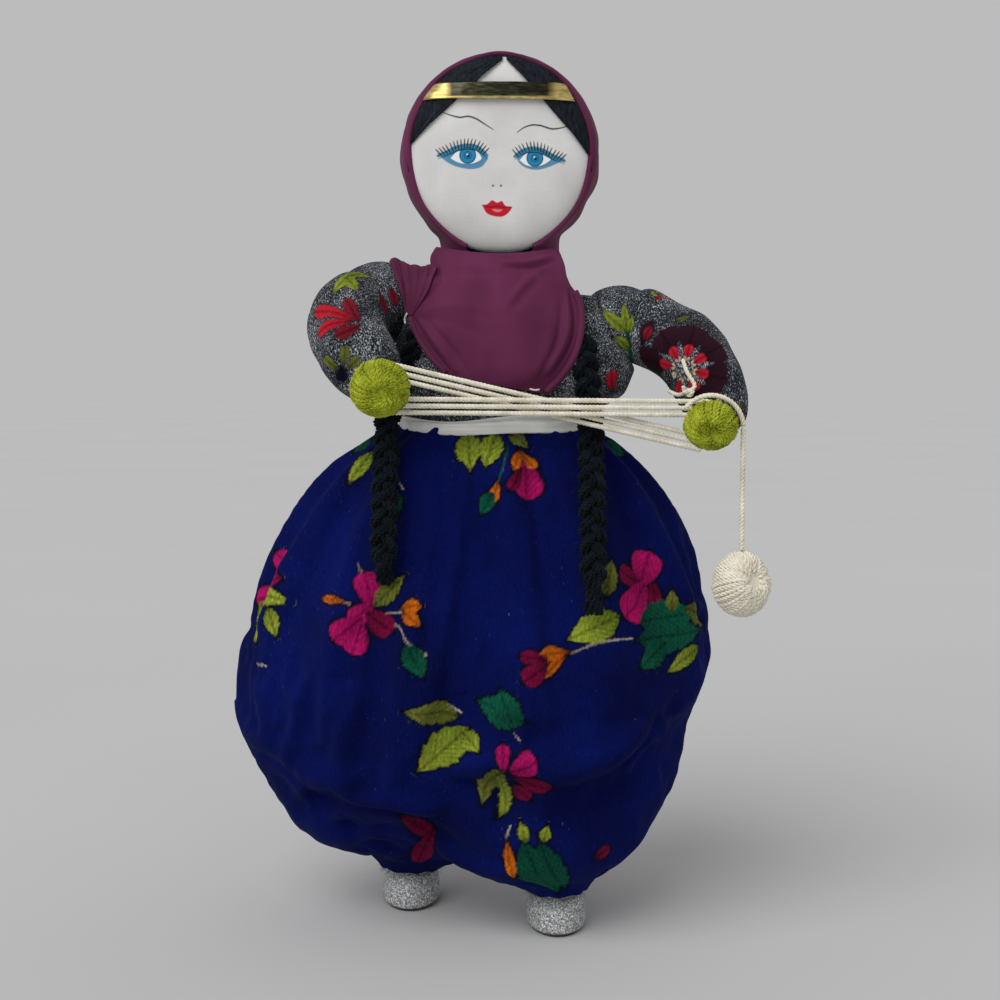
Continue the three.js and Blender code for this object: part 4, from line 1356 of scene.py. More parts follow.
BIB_FOLDS = [
    ([(413, 317), (428, 344), (450, 372)], -1.5, 0.8),
    ([(417, 317), (436, 343), (458, 374)], 0.9, 1.2),
    ([(421, 316), (444, 340), (470, 374)], -0.6, 1.4),
    ([(570, 288), (573, 336), (552, 376)], -1.8, 0.9),
    ([(566, 290), (567, 332), (546, 376)], 1.2, 1.3),
    ([(562, 296), (558, 336), (538, 380)], -0.9, 1.3),
    ([(550, 300), (549, 345), (528, 384)], 0.5, 2.6),
    ([(500, 262), (530, 262), (556, 255)], 1.2, 1.2),
    ([(500, 267), (532, 268), (556, 261)], -1.1, 1.1),
    ([(446, 262), (480, 268), (520, 272)], 0.5, 2.0),
    ([(546, 266), (524, 284), (502, 312)], 0.8, 1.8),
    ([(540, 280), (526, 294), (512, 312)], -0.6, 2.0),
    ([(434, 258), (438, 282), (424, 302)], -1.0, 1.2),
    ([(414, 313), (450, 306), (500, 312)], 0.5, 2.4),
    ([(416, 318), (450, 322), (490, 340)], -0.4, 2.2),
]
BIB_HEMS = [
    ([(573, 288), (579, 302), (580, 335), (573, 358), (560, 378), (546, 392)], 1.5),
    ([(410, 318), (419, 339), (432, 358), (446, 373)], 1.1),
]
STITCHES_PX = [[(411.5, 314), (409, 319), (409.5, 324.5)], [(529, 387), (534, 388.5), (538, 388)]]


def on_ray(spot, y):
    """The point at a depth under a place in the picture."""
    way = picture_ray(spot)
    return EYE + way * (y - EYE[1]) / way[1]


def laid_sheet(form, left, right, rows, columns, bow=0.0):
    """A net between two edges in the picture, laid on a form from its foot upward; its top edge may bow."""
    sides = [run(edge, count=rows) for edge in (left, right)]
    net = np.empty((rows, columns, 3))
    for i in range(rows - 1, -1, -1):
        sag = bow * (1 - i / (rows - 1)) ** 3
        for k in range(columns):
            share = k / (columns - 1)
            spot = sides[0][i] * (1 - share) + sides[1][i] * share + (0, sag * math.sin(math.pi * share))
            found = form.seen(spot)
            below = net[i + 1, k, 1] if i + 1 < rows else None
            if found and (below is None or found[0][1] < below + BIB_STEP_BACK):
                net[i, k] = found[0] + found[1] * BIB_LIFT
            else:
                net[i, k] = on_ray(spot, (below if below is not None else BIB_FOOT_Y) + BIB_STEP_BACK / 3)
    return net


def bib_chest(form):
    """Cloth over the chest with its folded edges."""
    net = laid_sheet(form, BIB_LEFT, BIB_RIGHT, BIB_ROWS, BIB_COLUMNS, BIB_BOW)
    chest = net_piece("bib_cloth", net[:, ::-1])
    relax(chest, rounds=5)
    subdivide(chest, 1)
    surface = fold_all(chest, BIB_FOLDS)
    heap = Heap()
    for spots, r in BIB_HEMS:
        add_tube(heap, seen_line(surface, spots, step=1.0) - (0, HEM_OUT, 0), r, sides=10)
    dress(heap.piece("bib_hems"), "trunk", "plum_scarf")
    return chest


def bib_gathers(form):
    """Gathered strip over the right shoulder."""
    strip = laid_sheet(form, STRIP_LEFT, STRIP_RIGHT, STRIP_ROWS, STRIP_COLUMNS)
    over = np.repeat(strip[:1], STRIP_TURN, axis=0)
    for row, back in zip(over, np.linspace(*STRIP_OVER, STRIP_TURN)):
        row[:, 1] += back
        for point in row:
            found = form.hit(point * (1, 1, 0) + (0, 0, TOP_Z), (0, 0, -1))
            if found:
                point[2] = min(found[0][2] + BIB_LIFT, point[2] + STRIP_RISE)
    net = np.concatenate([over, strip])
    pleat = np.abs(np.sin(np.linspace(0, 1, STRIP_COLUMNS) * math.pi * STRIP_PLEATS)) ** STRIP_ROUND
    pleat = pleat[None, :] * np.linspace(1, STRIP_FADE, len(net))[:, None]
    net[..., 1] -= STRIP_DEEP[0] * pleat
    net[..., 2] += STRIP_DEEP[1] * pleat
    gathered = net_piece("bib_strip", net[:, ::-1])
    relax(gathered, rounds=2)
    subdivide(gathered, 1)
    return gathered


def bib_behind():
    """Short end of the scarf on the back."""
    back = skin("bib_back", ["scarf_bib"], voxel=0.7, rounds=5)
    open_faces(back, lambda p: p[1] < BACK_EDGE_Y)
    keep_largest(back)
    x, _, z = points_of(back).T
    raise_points(back, BACK_WAVE * np.sin(x * 0.42 + 0.16 * z) * np.cos(z * 0.09))
    return back


def scarf_bib():
    """The scarf's ends over the chest, the right shoulder and the back, sewn down with two stitches."""
    solid = skin("bib_form", ["blouse", "torso", "scarf_bib", "left_arm", "right_arm"], voxel=1.6, rounds=6)
    form = Surface(solid)
    chest = bib_chest(form)
    gathered = bib_gathers(form)
    back = bib_behind()
    for obj, flat in ((chest, (0.07, 0.058)), (gathered, (0.024, 0.036)), (back, (0.04, 0.047))):
        dress(obj, "trunk", "plum_scarf", "scarf_bib")
    heap = Heap()
    for spots in STITCHES_PX:
        line = [hit[0] + hit[1] * STITCH_LIFT for hit in map(form.seen, spots) if hit]
        add_yarn(heap, line, STITCH, lay=2.0, plies=2, step=0.4, sides=5)
    dress(heap.piece("bib_stitches"), "trunk", "cream_yarn")
    bpy.data.objects.remove(solid)


SHOULDER_IN = 22.0
SHOULDER_OUT = 34.0
SHOULDER_LOW = 252.0
SHOULDER_SHARE = 0.85


def lowered(points):
    """Lets the left shoulder down, which sits lower than the right one."""
    share = climb(points[:, 0], SHOULDER_IN, SHOULDER_OUT - SHOULDER_IN)
    most = between(COLLAR_Z, SHOULDER_LOW, share)
    points[:, 2] -= SHOULDER_SHARE * np.clip(points[:, 2] - most, 0, None) * (share > 0)
    return points


BLOUSE_FULL = 8.0
BLOUSE_INNER = 20.0
BLOUSE_LOOSE = 34.0
BLOUSE_MOTIFS = [
    (RED_PETAL, 612, 390, 611, 371, 6.5),
    (DARK_RED_BUD, 393, 286, 397, 306, 3.6),
]


def blouse():
    obj = skin("blouse_cloth", ["blouse", "torso"], voxel=1.2, rounds=6)
    cut(obj, WAIST_Z + 0.4, keep_above=True)
    points = lowered(points_of(obj))
    height = points[:, 2] - WAIST_Z
    loose = climb(height, 0, 9) * climb(height, BLOUSE_LOOSE, -22)
    points[:, 0] += BLOUSE_FULL * loose * climb(points[:, 0], BLOUSE_INNER, 25)
    move_points(obj, points)
    subdivide(obj, 1)
    cloth = Print(obj)
    cloth.motifs(BLOUSE_MOTIFS, cloth.surface.seen, 0.6)
    cloth.save()
    dress(obj, "trunk", "flowered_grey", "blouse")


SASH_WIDE = 7.4
SASH_SAG = 4.0
SASH_OUT = 3.6
SASH_DROP = 4.5
SASH_LEAN = 2.0
SASH_FREE = 0.6
SASH_ROLLS = [(0.5, 0.86), (0.35, 0.12)]
SASH_ROLL_WIDE = 0.1
SASH_CREASE = 0.25
SASH_WAVE = 0.5


def sash():
    """White ribbon around the waist, its edges rolled, its foot standing off in front."""
    obj = skin("satin_sash", ["waist_sash"], voxel=0.6, rounds=4)
    points = points_of(obj)
    share = (points[:, 2] - WAIST_Z) / SASH_WIDE
    away = points[:, :2] / np.linalg.norm(points[:, :2], axis=1)[:, None]
    around = np.arctan2(points[:, 0], -points[:, 1])
    roll = sum(rise * bell(share - place, SASH_ROLL_WIDE) for rise, place in SASH_ROLLS)
    crease = SASH_CREASE * np.sin(share * 16 + 1.4 * np.sin(around * 3))
    points[:, :2] += away * (roll + crease)[:, None]
    points[:, 2] += SASH_WAVE * np.sin(around * 4 + 0.5)
    front = np.clip(np.cos(around * 0.9), 0, 1) ** 0.5
    slack = np.clip(1 - share / SASH_FREE, 0, 1) * front
    drop = (SASH_DROP - SASH_LEAN * np.sin(around)) * front * np.clip(share, 0, 1)
    points[:, 2] -= SASH_SAG * slack + drop
    points[:, :2] += away * (SASH_OUT * slack)[:, None]
    move_points(obj, points)
    dress(obj, "trunk", "satin", "waist_sash")


# Sleeves

RIGHT_SLEEVE = [
    (LIME_LEAF, 356, 273, 333, 294, 6.0), (LIME_LEAF, 351, 276, 371, 276, 4.8),
    (LIME_LEAF, 345, 277, 357, 291, 5.6), (RED_PETAL, 354, 320, 315, 312, 6.4),
    (RED_PETAL, 350, 322, 318, 335, 6.4), (DARK_RED_PETAL, 360, 326, 335, 336, 5.4),
    (DARK_RED_PETAL, 359, 322, 346, 299, 6.0), (DARK_RED_BUD, 379, 292, 386, 314, 4.2),
    (DARK_RED_BUD, 390, 286, 396, 306, 3.6), (OLIVE_PETAL, 344, 366, 345, 346, 4.4),
    (OLIVE_PETAL, 338, 370, 324, 357, 4.4), (OLIVE_PETAL, 337, 377, 325, 388, 4.4),
    (OLIVE_PETAL, 348, 368, 359, 358, 4.4), (NIGHT_PETAL, 342, 366, 342, 382, 5.4),
]
LEFT_SLEEVE = [
    (LIME_LEAF, 627, 332, 602, 310, 5.0), (LIME_LEAF, 627, 328, 623.5, 303, 3.4),
    (LIME_LEAF, 629, 334, 633, 314, 2.8), (LIME_LEAF, 630, 349, 614, 337, 5.4),
    (MAROON_BUD, 642, 346, 653, 321, 6.0), (DARK_RED_BUD, 644, 342, 651, 326, 4.0),
    (MAROON_BUD, 583, 294, 632, 291, 5.0), (RED_PETAL, 612, 390, 611, 371, 6.5),
    (OLIVE_LEAF, 676, 322, 690, 316, 2.4), (RED_BUD, 655, 300, 662, 296, 2.0),
    (OLIVE_LEAF, 731, 410, 743, 404, 3.0),
]
LEFT_STEMS = [([(627, 330), (630, 350), (633, 374)], 2.2, LEAF_GREEN)]
STAR_MIDDLE = np.array([684.0, 369.0])
STAR_PETALS = 8
STAR_TURN = 0.3
STAR_RINGS = [(MAROON_PETAL, 20, 44, 15.0), (CREAM_BUD, 8, 14, 2.4), (RED_PETAL, 11, 25, 4.6)]


def star_flower():
    """Eight red petals on dark scallops, each with a cream point at its foot."""
    turns = [2 * math.pi * (k + STAR_TURN) / STAR_PETALS for k in range(STAR_PETALS)]
    spokes = [np.array([math.cos(turn), math.sin(turn)]) for turn in turns]
    return [
        (kind, *(STAR_MIDDLE + way * inner), *(STAR_MIDDLE + way * outer), wide)
        for kind, inner, outer, wide in STAR_RINGS
        for way in spokes
    ]


SLEEVE_SPRAY = [
    (RED_PETAL, 0, 0, 8, 3, 4.2), (RED_PETAL, 0, 0, 3, 8, 4.2),
    (MAROON_PETAL, 0, 0, -6, 5, 4.2), (RED_PETAL, 0, 0, 4, -6, 4.2),
    (MAROON_PETAL, 0, 0, -5, -6, 4.2), (LIME_LEAF, 9, 8, 15, 14, 3.6),
    (LIME_LEAF, -8, -6, -15, -8, 3.6),
]


ARM_SWELLS = {
    "right": [((350, 284), 4.5, 10.0), ((313, 330), -3.5, 12.0), ((380, 345), 1.0, 9.0)],
    "left": [((648, 302), 5.0, 8.0), ((668, 388), 2.0, 9.0)],
}
SLEEVE_FRONT_Y = -39.0
SLEEVE_AROUND = [(120, 12, 0.4), (150, 20, 1.4), (185, 6, 2.6)]
SLEEVE_HALO = 0.5
SLEEVE_WAVE = 0.35
SLEEVES = {"right": (RIGHT_SLEEVE, []), "left": (LEFT_SLEEVE + star_flower(), LEFT_STEMS)}


def heading(turn):
    """Level direction at some degrees from the front."""
    return np.array([math.sin(math.radians(turn)), -math.cos(math.radians(turn)), 0.0])


def swell(obj, places):
    """Fuller stuffing under places in the picture, none of it in front of the wrist."""
    surface = Surface(obj)
    for spot, rise, wide in places:
        found = surface.seen(spot)
        if found:
            points = points_of(obj)
            far = np.linalg.norm(points - found[0], axis=1)
            raise_points(obj, rise * bell(far, wide) * climb(points[:, 1], SLEEVE_FRONT_Y, 8))


def sleeves():
    """Stuffed sleeves; returns the left one's surface, which the yarn's tails lie on."""
    pieces = {}
    for side, (motifs, stems) in SLEEVES.items():
        solids = [f"{side}_{part}" for part in ("arm", "arm_wire", "shoulder_thread")]
        obj = skin(f"{side}_sleeve", solids, voxel=1.2, rounds=16)
        swell(obj, ARM_SWELLS[side])
        subdivide(obj, 1)
        points = points_of(obj)
        x, y, z = points.T
        raise_points(obj, SLEEVE_WAVE * np.sin(z * 0.33 + x * 0.15) * np.cos(y * 0.16))
        cloth = Print(obj)
        cloth.motifs(motifs, cloth.surface.seen, SLEEVE_HALO, stems)
        for turn, rise, lean in SLEEVE_AROUND:
            way = heading(-turn if side == "right" else turn)
            anchor = cloth.surface.hit(points.mean(0) + way * OUTSIDE + (0, 0, rise), -way)
            if anchor:
                cloth.spray(anchor, lean, SLEEVE_SPRAY, SLEEVE_HALO)
        cloth.save()
        dress(obj, f"{side}_arm", "flowered_grey", f"{side}_arm")
        pieces[side] = obj
    return Surface(pieces["left"])


# Trousers

TROUSER_FOLDS = [
    ([(236, 742), (276, 764), (307, 792), (343, 806), (402, 816), (448, 836), (478, 866)], -2.2, 3.0),
    ([(240, 728), (282, 752), (316, 778), (352, 793), (402, 802), (450, 822), (480, 848)], 1.6, 5.0),
    ([(692, 694), (659, 722), (646, 746), (621, 771), (583, 787), (545, 792)], -2.2, 3.0),
    ([(690, 676), (652, 706), (636, 732), (612, 756), (578, 772), (545, 778)], 1.6, 5.0),
    ([(640, 690), (590, 716), (548, 734)], -1.0, 7.0),
    ([(415, 440), (418, 520), (420, 602), (444, 654)], -1.0, 3.0),
    ([(404, 440), (406, 520), (408, 602), (430, 660)], 1.0, 5.0),
    ([(539, 446), (560, 510), (568, 560), (570, 602)], -1.0, 3.0),
    ([(550, 446), (572, 510), (580, 560), (582, 602)], 1.0, 5.0),
    ([(492, 734), (491, 762), (496, 790), (503, 817), (480, 836)], -1.8, 3.0),
]

TROUSER_MOTIFS = [
    (GREEN_LEAF, 372, 440, 354, 452, 4.0), (LIME_LEAF, 372, 452, 348, 483, 5.0),
    (GREEN_LEAF, 396, 492, 397, 516, 3.6), (MAGENTA_PETAL, 276, 580, 276, 553, 8.0),
    (MAGENTA_PETAL, 280, 578, 257, 600, 8.0), (LIME_LEAF, 258, 606, 292, 604, 6.0),
    (LIME_LEAF, 262, 604, 256, 642, 8.0), (LIME_LEAF, 268, 608, 276, 636, 6.0),
    (MAGENTA_PETAL, 372, 606, 364, 572, 9.5), (MAGENTA_PETAL, 371, 606, 350, 622, 8.0),
    (MAGENTA_PETAL, 362, 618, 333, 640, 10.0), (MAGENTA_PETAL, 362, 624, 352, 654, 9.0),
    (WINE_PETAL, 366, 612, 392, 632, 9.0), (OLIVE_LEAF, 374, 606, 404, 576, 6.0),
    (ORANGE_BUD, 348, 603, 322, 598, 2.4), (ORANGE_BUD, 401, 608, 421, 606, 4.2),
    (ORANGE_LEAF, 403, 612, 420, 626, 4.6), (GREEN_LEAF, 406, 645, 424, 678, 7.0),
    (LIME_LEAF, 466, 433, 470, 471, 7.0), (LIME_LEAF, 497, 434, 485, 467, 7.5),
    (OLIVE_LEAF, 508, 434, 528, 448, 5.5), (MAGENTA_PETAL, 526, 462, 526, 499, 11.0),
    (WINE_PETAL, 522, 468, 511, 490, 5.0), (ORANGE_BUD, 520, 450, 514, 470, 3.4),
    (ORANGE_BUD, 520, 450, 537, 468, 3.2), (ORANGE_BUD, 498, 480, 493, 504, 3.4),
    (GREEN_LEAF, 493, 492, 481, 514, 5.0), (GREEN_LEAF, 586, 424, 560, 438, 5.0),
    (GREEN_LEAF, 605, 441, 624, 456, 5.0), (MAGENTA_PETAL, 640, 586, 650, 552, 13.0),
    (WINE_PETAL, 640, 584, 620, 570, 8.0), (MAGENTA_PETAL, 645, 584, 626, 618, 13.0),
    (WINE_PETAL, 652, 582, 656, 608, 6.0), (OLIVE_LEAF, 606, 596, 612, 560, 6.0),
    (LIME_LEAF, 619, 616, 568, 640, 10.0), (GREEN_LEAF, 640, 622, 694, 612, 11.0),
    (GREEN_LEAF, 638, 640, 700, 630, 11.0), (GREEN_LEAF, 666, 642, 640, 668, 9.0),
    (OLIVE_LEAF, 672, 612, 672, 590, 5.0), (OLIVE_LEAF, 684, 610, 703, 625, 5.0),
    (LIME_LEAF, 698, 646, 668, 672, 6.0), (ORANGE_BUD, 570, 652, 538, 656, 4.6),
    (ORANGE_BUD, 566, 656, 544, 678, 3.0), (WINE_PETAL, 548, 660, 521, 656, 5.0),
    (WINE_PETAL, 548, 664, 524, 682, 8.0), (OLIVE_LEAF, 458, 716, 404, 712, 8.0),
    (LIME_LEAF, 468, 728, 418, 772, 11.0), (LIME_LEAF, 462, 732, 478, 752, 7.0),
    (GREEN_LEAF, 524, 722, 478, 700, 11.0), (GREEN_LEAF, 512, 724, 500, 690, 9.0),
    (MAGENTA_PETAL, 504, 772, 502, 745, 5.6), (MAGENTA_PETAL, 510, 772, 536, 762, 9.0),
    (WINE_BUD, 512, 776, 552, 788, 5.0), (WINE_BUD, 512, 784, 530, 800, 5.0),
    (OLIVE_LEAF, 502, 772, 482, 804, 7.0), (LIME_LEAF, 500, 776, 500, 816, 6.0),
    (WINE_PETAL, 402, 816, 436, 838, 6.0), (WINE_PETAL, 434, 828, 418, 862, 8.0),
    (ORANGE_BUD, 507, 840, 514, 878, 4.2), (GREEN_LEAF, 524, 842, 558, 892, 13.0),
    (GREEN_LEAF, 540, 842, 566, 888, 9.0), (LIME_LEAF, 526, 842, 520, 822, 3.6),
    (LIME_LEAF, 543, 842, 548, 826, 3.6), (WINE_BUD, 594, 858, 610, 848, 4.0),
]
TROUSER_STEMS = [
    ([(394, 477), (399, 483), (403, 489)], 0.9, PALE),
    ([(358, 564), (361, 574)], 0.8, PALE),
    ([(338, 600), (350, 604)], 0.8, PALE),
    ([(384, 614), (401, 612)], 0.8, PALE),
    ([(388, 622), (398, 626), (406, 641), (414, 649), (426, 655)], 1.0, PALE),
    ([(257.5, 664.5), (262, 665), (266.5, 666.3)], 0.9, PALE),
    ([(508, 446), (504, 464), (499, 480)], 1.0, LEAF_GREEN),
    ([(572, 653), (598, 643), (632, 638)], 0.9, PALE),
    ([(438, 703), (450, 706), (461, 712)], 1.0, PALE),
    ([(514, 733), (520, 741)], 1.0, PALE),
    ([(506, 838), (510, 826)], 0.9, PALE),
]

GARDEN = [
    (MAGENTA_PETAL, 0, 0, 9, 9, 10.0), (MAGENTA_PETAL, 0, 0, -9, 8, 10.0),
    (WINE_PETAL, 0, 0, -8, -9, 10.0), (MAGENTA_PETAL, 0, 0, 8, -8, 10.0),
    (WINE_PETAL, -1, 2, 2, 14, 8.0), (LIME_LEAF, 10, 2, 27, 8, 9.0),
    (GREEN_LEAF, 8, -10, 20, -22, 9.0), (LIME_LEAF, -10, -6, -26, -8, 9.0),
    (GREEN_LEAF, -8, 12, -18, 24, 7.0), (ORANGE_BUD, -20, 12, -30, 16, 4.5),
    (ORANGE_BUD, 16, 18, 24, 27, 5.0), (WINE_BUD, 24, 26, 31, 33, 6.0),
]
SPRIG = [
    (MAGENTA_PETAL, 0, 0, 0, 13, 8.0), (WINE_PETAL, -1, 2, -7, 10, 5.0),
    (ORANGE_BUD, 1, 0, 6, 5, 4.0), (LIME_LEAF, 0, -2, 10, -12, 7.0),
    (GREEN_LEAF, 0, -2, -11, -9, 7.0),
]
AROUND_GARDEN = [
    (122, 150, 1.9), (126, 84, 4.0), (165, 120, 0.9), (205, 82, 2.6), (212, 150, 5.2), (240, 112, 3.4),
]
AROUND_SPRIG = [
    (112, 48, 0.4), (146, 44, 2.2), (182, 170, 1.0), (186, 62, 3.5), (228, 48, 5.0), (250, 54, 0.8),
    (150, 176, 2.0),
]
TROUSER_HALO = 1.4
TROUSER_FULL = 1.25
SPRAY_HALO = 0.9


def evened(obj, values, rounds):
    """Values at the points of a net, averaged with their neighbours over and over."""
    ends = np.empty(2 * len(obj.data.edges), np.int64)
    obj.data.edges.foreach_get("vertices", ends)
    one, other = ends.reshape(-1, 2).T
    count = np.bincount(ends, minlength=len(values))
    for _ in range(rounds):
        total = np.bincount(one, values[other], len(values)) + np.bincount(other, values[one], len(values))
        values = (values + total) / (1 + count)
    return values


CLOTH = {
    "quality": 6,
    "mass": 0.25,
    "tension_stiffness": 12,
    "compression_stiffness": 12,
    "shear_stiffness": 4,
    "bending_stiffness": 0.12,
    "use_pressure": True,
    "uniform_pressure_force": 4.0,
    "shrink_min": -0.1,
    "vertex_group_mass": "pinned",
}
CLOTH_WEIGHT = 0.15
CLOTH_FRAMES = 20
CREASE_ROUNDS = 20


def drape(obj, pinned, cap):
    """Lets roomy cloth crease, held at the pinned points, and keeps the creases on the main form."""
    before = points_of(obj)
    normals = normals_of(obj)
    group = obj.vertex_groups.new(name="pinned")
    group.add([int(i) for i in np.nonzero(pinned)[0]], 1.0, "REPLACE")
    modifier = obj.modifiers.new("cloth", "CLOTH")
    for key, value in CLOTH.items():
        setattr(modifier.settings, key, value)
    modifier.settings.effector_weights.gravity = CLOTH_WEIGHT
    modifier.point_cache.frame_start = 1
    modifier.point_cache.frame_end = CLOTH_FRAMES
    scene = bpy.context.scene
    for number in range(1, CLOTH_FRAMES + 1):
        scene.frame_set(number)
    frozen(obj)
    scene.frame_set(1)
    obj.vertex_groups.clear()
    rise = np.sum((points_of(obj) - before) * normals, axis=1)
    crease = rise - evened(obj, rise, CREASE_ROUNDS)
    move_points(obj, before + normals * np.clip(crease, -cap, cap)[:, None])


SIDE_ROUNDS = 24
SIDE_MIDDLE = -3.0
SIDE_INNER = 55.0
TROUSER_CAP = 2.5
TROUSER_X = 8.0
GATHERS = 34
GATHER_DEEP = 0.5
GATHER_FADE = 16.0
HEM_DEEP = 0.35
HEM_FADE = 7.0


def trousers(braid_lines):
    """Roomy cloth, smooth at the sides, folded and gathered; its creases stay clear of the braids."""
    solids = ["trousers", "trouser_stuffing", "left_leg", "right_leg", "torso", "left_shoe", "right_shoe"]
    obj = skin("trouser_cloth", solids, voxel=3.3, rounds=9)
    cut(obj, WAIST_Z, keep_above=False)
    cut(obj, HEM_Z, keep_above=True)
    points = points_of(obj)
    soft = np.stack([evened(obj, column, SIDE_ROUNDS) for column in points.T], axis=1)
    side = climb(np.abs(points[:, 0] - SIDE_MIDDLE), SIDE_INNER, 20)
    points += (soft - points) * side[:, None]
    move_points(obj, points)
    z = points[:, 2]
    beside = np.min([to_line(points, line)[0] for line in braid_lines], axis=0)
    room = climb(beside, 1.4 * BRAID_R, 2 * BRAID_R)
    held = climb(z, HEM_Z, 20) * climb(z, WAIST_Z, -12)
    drape(obj, (z > WAIST_Z - 2) | (z < HEM_Z + 3), TROUSER_CAP * room * held)
    subdivide(obj, 2)
    fold_all(obj, TROUSER_FOLDS)
    x, y, z = points_of(obj).T
    around = np.arctan2(x, -y)
    gather = np.exp(-((WAIST_Z - z) / GATHER_FADE)) * np.sin(around * GATHERS + 2 * np.sin(around * 5))
    hem = np.exp(-((z - HEM_Z) / HEM_FADE)) * np.sin(x * 0.8 + 2 * np.sin(y * 0.3)) * HEM_DEEP
    raise_points(obj, GATHER_DEEP * gather + hem)
    cloth = Print(obj)
    cloth.motifs(TROUSER_MOTIFS, cloth.surface.seen, TROUSER_HALO, TROUSER_STEMS, TROUSER_FULL)
    for places, rows in ((AROUND_GARDEN, GARDEN), (AROUND_SPRIG, SPRIG)):
        for turn, height, lean in places:
            way = heading(turn)
            anchor = cloth.surface.hit(np.array([TROUSER_X, 0, height]) + way * OUTSIDE, -way)
            cloth.spray(anchor, lean, rows, SPRAY_HALO)
    cloth.save()
    dress(obj, "trunk", "flowered_blue", "trousers")


# Braids

BRAID_X = {"left": (35.0, 38.0), "right": (-28.8, -37.0)}
BRAID_SEEN_X = {"left": (36.0, 39.0), "right": (-27.5, -39.5)}
BRAID_TURN = 18.0
BRAID_SLANT = 30.0
BRAID_LONG = {"left": 73.0, "right": 63.0}
BRAID_TOP = 35.0
BRAID_OUT = (0.3, -0.35)
PLAIT_PITCH = 21.0
PLAIT_WIDE = 3.2
PLAIT_DEEP = 1.5
STRAND_R = 2.5
STRAND_YARNS = 6
YARN_OUT = STRAND_R * 0.62
STRAND_LAY = 26.0
WOOL_R = 1.0
TASSEL = 9.0
TASSEL_SPREAD = (-0.02, 0.12)
FUZZ = 1100
FUZZ_LONG = (1.0, 4.2)
FUZZ_ROOT = BRAID_R * np.array([0.75, 0.5, 0.0])
SHORN_Z = (BRAID_HINGE_Z - 20, BRAID_HINGE_Z + 10)
SHORN = 0.3


def braid_line(side):
    """Middle line of a braid, as deep as the CAD solids, that comes out between the bib and the blouse."""
    solids = [Surface(frame["nodes"][f"{side}_{part}"]) for part in ("braid_top", "braid")]
    heights = np.arange(BRAID_HINGE_Z - BRAID_LONG[side], BRAID_HINGE_Z + BRAID_TOP, 4.0)
    share = climb(heights, BRAID_HINGE_Z + BRAID_TURN, -BRAID_TURN)
    known, depth = [], []
    for x, z in zip(np.interp(share, (0, 1), BRAID_X[side]), heights):
        fronts = [hit[0][1] for hit in (solid.ahead(x, z) for solid in solids) if hit]
        if fronts:
            known.append(z)
            depth.append(min(fronts) + BRAID_R * 0.95)
    slant = climb(heights, BRAID_HINGE_Z + BRAID_SLANT, -BRAID_SLANT)
    seen = np.interp(slant, (0, 1), BRAID_SEEN_X[side])
    points = np.stack([seen, np.interp(heights, known, depth), heights], axis=1)
    chest = Surface(bpy.data.objects["blouse_cloth"])
    for point in points:
        cloth = chest.ahead(point[0], point[2])
        if cloth:
            rise = climb(point[2], BRAID_HINGE_Z, BRAID_TOP)
            out = cloth[0][1] - BRAID_R * np.interp(rise, (0.3, 1), BRAID_OUT)
            point[1] = between(point[1], out, min(2 * rise, 1))
    return run(points[::-1], step=1.2)


def braid(side, line):
    """Three-strand plait of black wool with a frayed end."""
    heap = Heap()
    way = np.concatenate([[0], np.cumsum(np.linalg.norm(np.diff(line, axis=0), axis=1))])
    across, up = np.tile([1.0, 0, 0], (len(line), 1)), np.tile([0, -1.0, 0], (len(line), 1))
    bound = np.clip((way[-1] - TASSEL - way) / 6, 0.35, 1)
    for k in range(3):
        phase = 2 * math.pi * (way / PLAIT_PITCH + k / 3)
        strand = line + across * (PLAIT_WIDE * bound * np.sin(phase))[:, None]
        strand = strand + up * (PLAIT_DEEP * bound * np.sin(2 * phase))[:, None]
        for yarn in range(STRAND_YARNS):
            turn = 2 * math.pi * (yarn / STRAND_YARNS + way / STRAND_LAY) + chance.uniform(-0.3, 0.3)
            off = across * np.cos(turn)[:, None] + up * np.sin(turn)[:, None]
            frayed = np.clip(way - way[-1] + TASSEL, 0, None) * chance.uniform(*TASSEL_SPREAD)
            spread = YARN_OUT + frayed
            end = len(line) - int(chance.integers(0, 3))
            wool_line = (strand + off * spread[:, None])[:end]
            add_yarn(heap, wool_line, WOOL_R, lay=3.2, plies=2, step=1.1, sides=5)
    for _ in range(FUZZ):
        i = int(chance.integers(2, len(line) - 1))
        out = unit(chance.normal(size=3) * (1, 1, 0.5))
        root = line[i] + out * FUZZ_ROOT
        room = SHORN if SHORN_Z[0] < root[2] < SHORN_Z[1] else 1.0
        lean = out + (0, 0, chance.uniform(-0.8, 0.3))
        add_fibre(heap, root, lean, chance.uniform(*FUZZ_LONG) * room, thick=0.07, curl=1.4)
    obj = dress(heap.piece(f"{side}_plait"), None, "black_wool", f"{side}_braid_top", f"{side}_braid")
    i = int(np.argmin(np.abs(line[:, 2] - BRAID_HINGE_Z)))
    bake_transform(obj)


# Shoes and what is inside


FRAY = 110
FRAY_LONG = (1.5, 4.0)
ANKLE = np.array([0, 17.0, 14.0])
ANKLE_R = 10.6


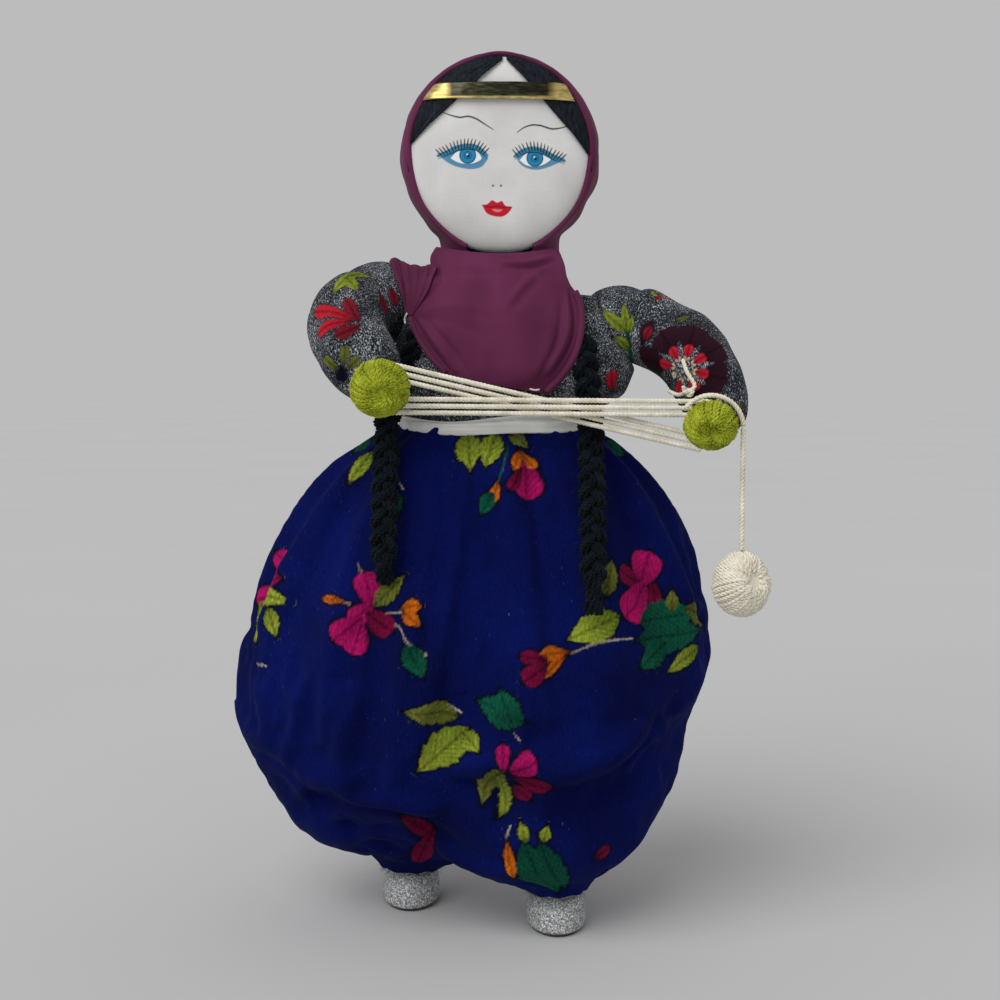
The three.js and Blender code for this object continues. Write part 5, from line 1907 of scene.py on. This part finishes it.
def shoes():
    """Glitter shoes with loose threads around the ankle."""
    for side in HANDS:
        obj = skin(f"{side}_glitter_shoe", [f"{side}_shoe"], voxel=1.0, rounds=4)
        subdivide(obj, 1)
        dress(obj, "trunk", "glitter", f"{side}_shoe")
        low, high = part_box(f"{side}_shoe")
        middle = own(((low[0] + high[0]) / 2, low[1], 0)) * (1, 1, 0) + ANKLE
        heap = Heap()
        for _ in range(FRAY):
            turn = chance.uniform(0, 2 * math.pi)
            way = np.array([math.cos(turn), math.sin(turn), 0.0])
            lean = way * 0.9 + (0, 0, chance.uniform(-1.2, 0.2))
            add_fibre(heap, middle + way * ANKLE_R, lean, chance.uniform(*FRAY_LONG), thick=0.09, curl=0.8)
        dress(heap.piece(f"{side}_shoe_fray"), "trunk", "glitter")


STUFFING = {
    "torso": ("torso_stuffing", "trunk", 3.5),
    "trouser_stuffing": ("trouser_filling", "trunk", 7.0),
    "left_leg": ("left_leg_stuffing", "trunk", 3.5),
    "right_leg": ("right_leg_stuffing", "trunk", 3.5),
    "head_back": ("head_stuffing", "head", 3.5),
}
HARD = {
    "spine_dowel": "stick_wood",
    "leg_stick": "stick_wood",
    "arm_wire": "wire",
    "shoulder_thread": "cream_yarn",
}


def inside():
    """Stuffing, a little inside its solids, and the finish of sticks, wires and threads."""
    for node, (name, body, room) in STUFFING.items():
        obj = skin(name, [node], voxel=2.5, rounds=6)
        points = points_of(obj) - normals_of(obj) * room
        move_points(obj, lowered(points) if node == "torso" else points)
        dress(obj, body, "stuffed_cotton", node)
    for name, node in frame["nodes"].items():
        slot = HARD.get(name.replace("left_", "").replace("right_", ""))
        if slot:
            node.data.materials.clear()
            node.data.materials.append(LOOKS[slot])


# Stage


FLOOR_HALF = 30.0
ROOM = srgb(188, 188, 189)
KEY_WAY = (0.6, 0.8, -1.0)
KEY_SOFT = 50
KEY_LIGHT = 1.7


def stage():
    corners = [(x * FLOOR_HALF, y * FLOOR_HALF, 0) for x, y in ((-1, -1), (1, -1), (1, 1), (-1, 1))]
    mesh = bpy.data.meshes.new("floor")
    mesh.from_pydata(corners, [], [(0, 1, 2, 3)])
    floor = linked("floor", mesh)
    look = Finish("floor_paper", Roughness=0.9, Specular_IOR_Level=0.0)
    look.colour(look.ramp(look.noise((3, 3, 3)), (0.3, srgb(197, 197, 197)), (0.7, srgb(200, 200, 200))))
    mesh.materials.append(look.material)
    world = bpy.data.worlds.new("room")
    world.use_nodes = True
    background = world.node_tree.nodes["Background"]
    background.inputs["Color"].default_value = (*ROOM, 1.0)
    background.inputs["Strength"].default_value = 1.0
    scene = bpy.context.scene
    scene.world = world
    scene.view_settings.view_transform = "Standard"
    data = bpy.data.lights.new("key", "SUN")
    data.angle = math.radians(KEY_SOFT)
    data.energy = KEY_LIGHT
    linked("key", data).rotation_euler = looking(KEY_WAY)


add_camera()
drop_and_ball()
left_sleeve = sleeves()
skein_and_knot(left_sleeve)
wool_hands()
printed_face()
hair_panels()
gold_band()
scarf_hood()
scarf_bib()
blouse()
sash()
plaits = {side: braid_line(side) for side in HANDS}
trousers(list(plaits.values()))
for side, line in plaits.items():
    braid(side, line)
shoes()
inside()
stage()
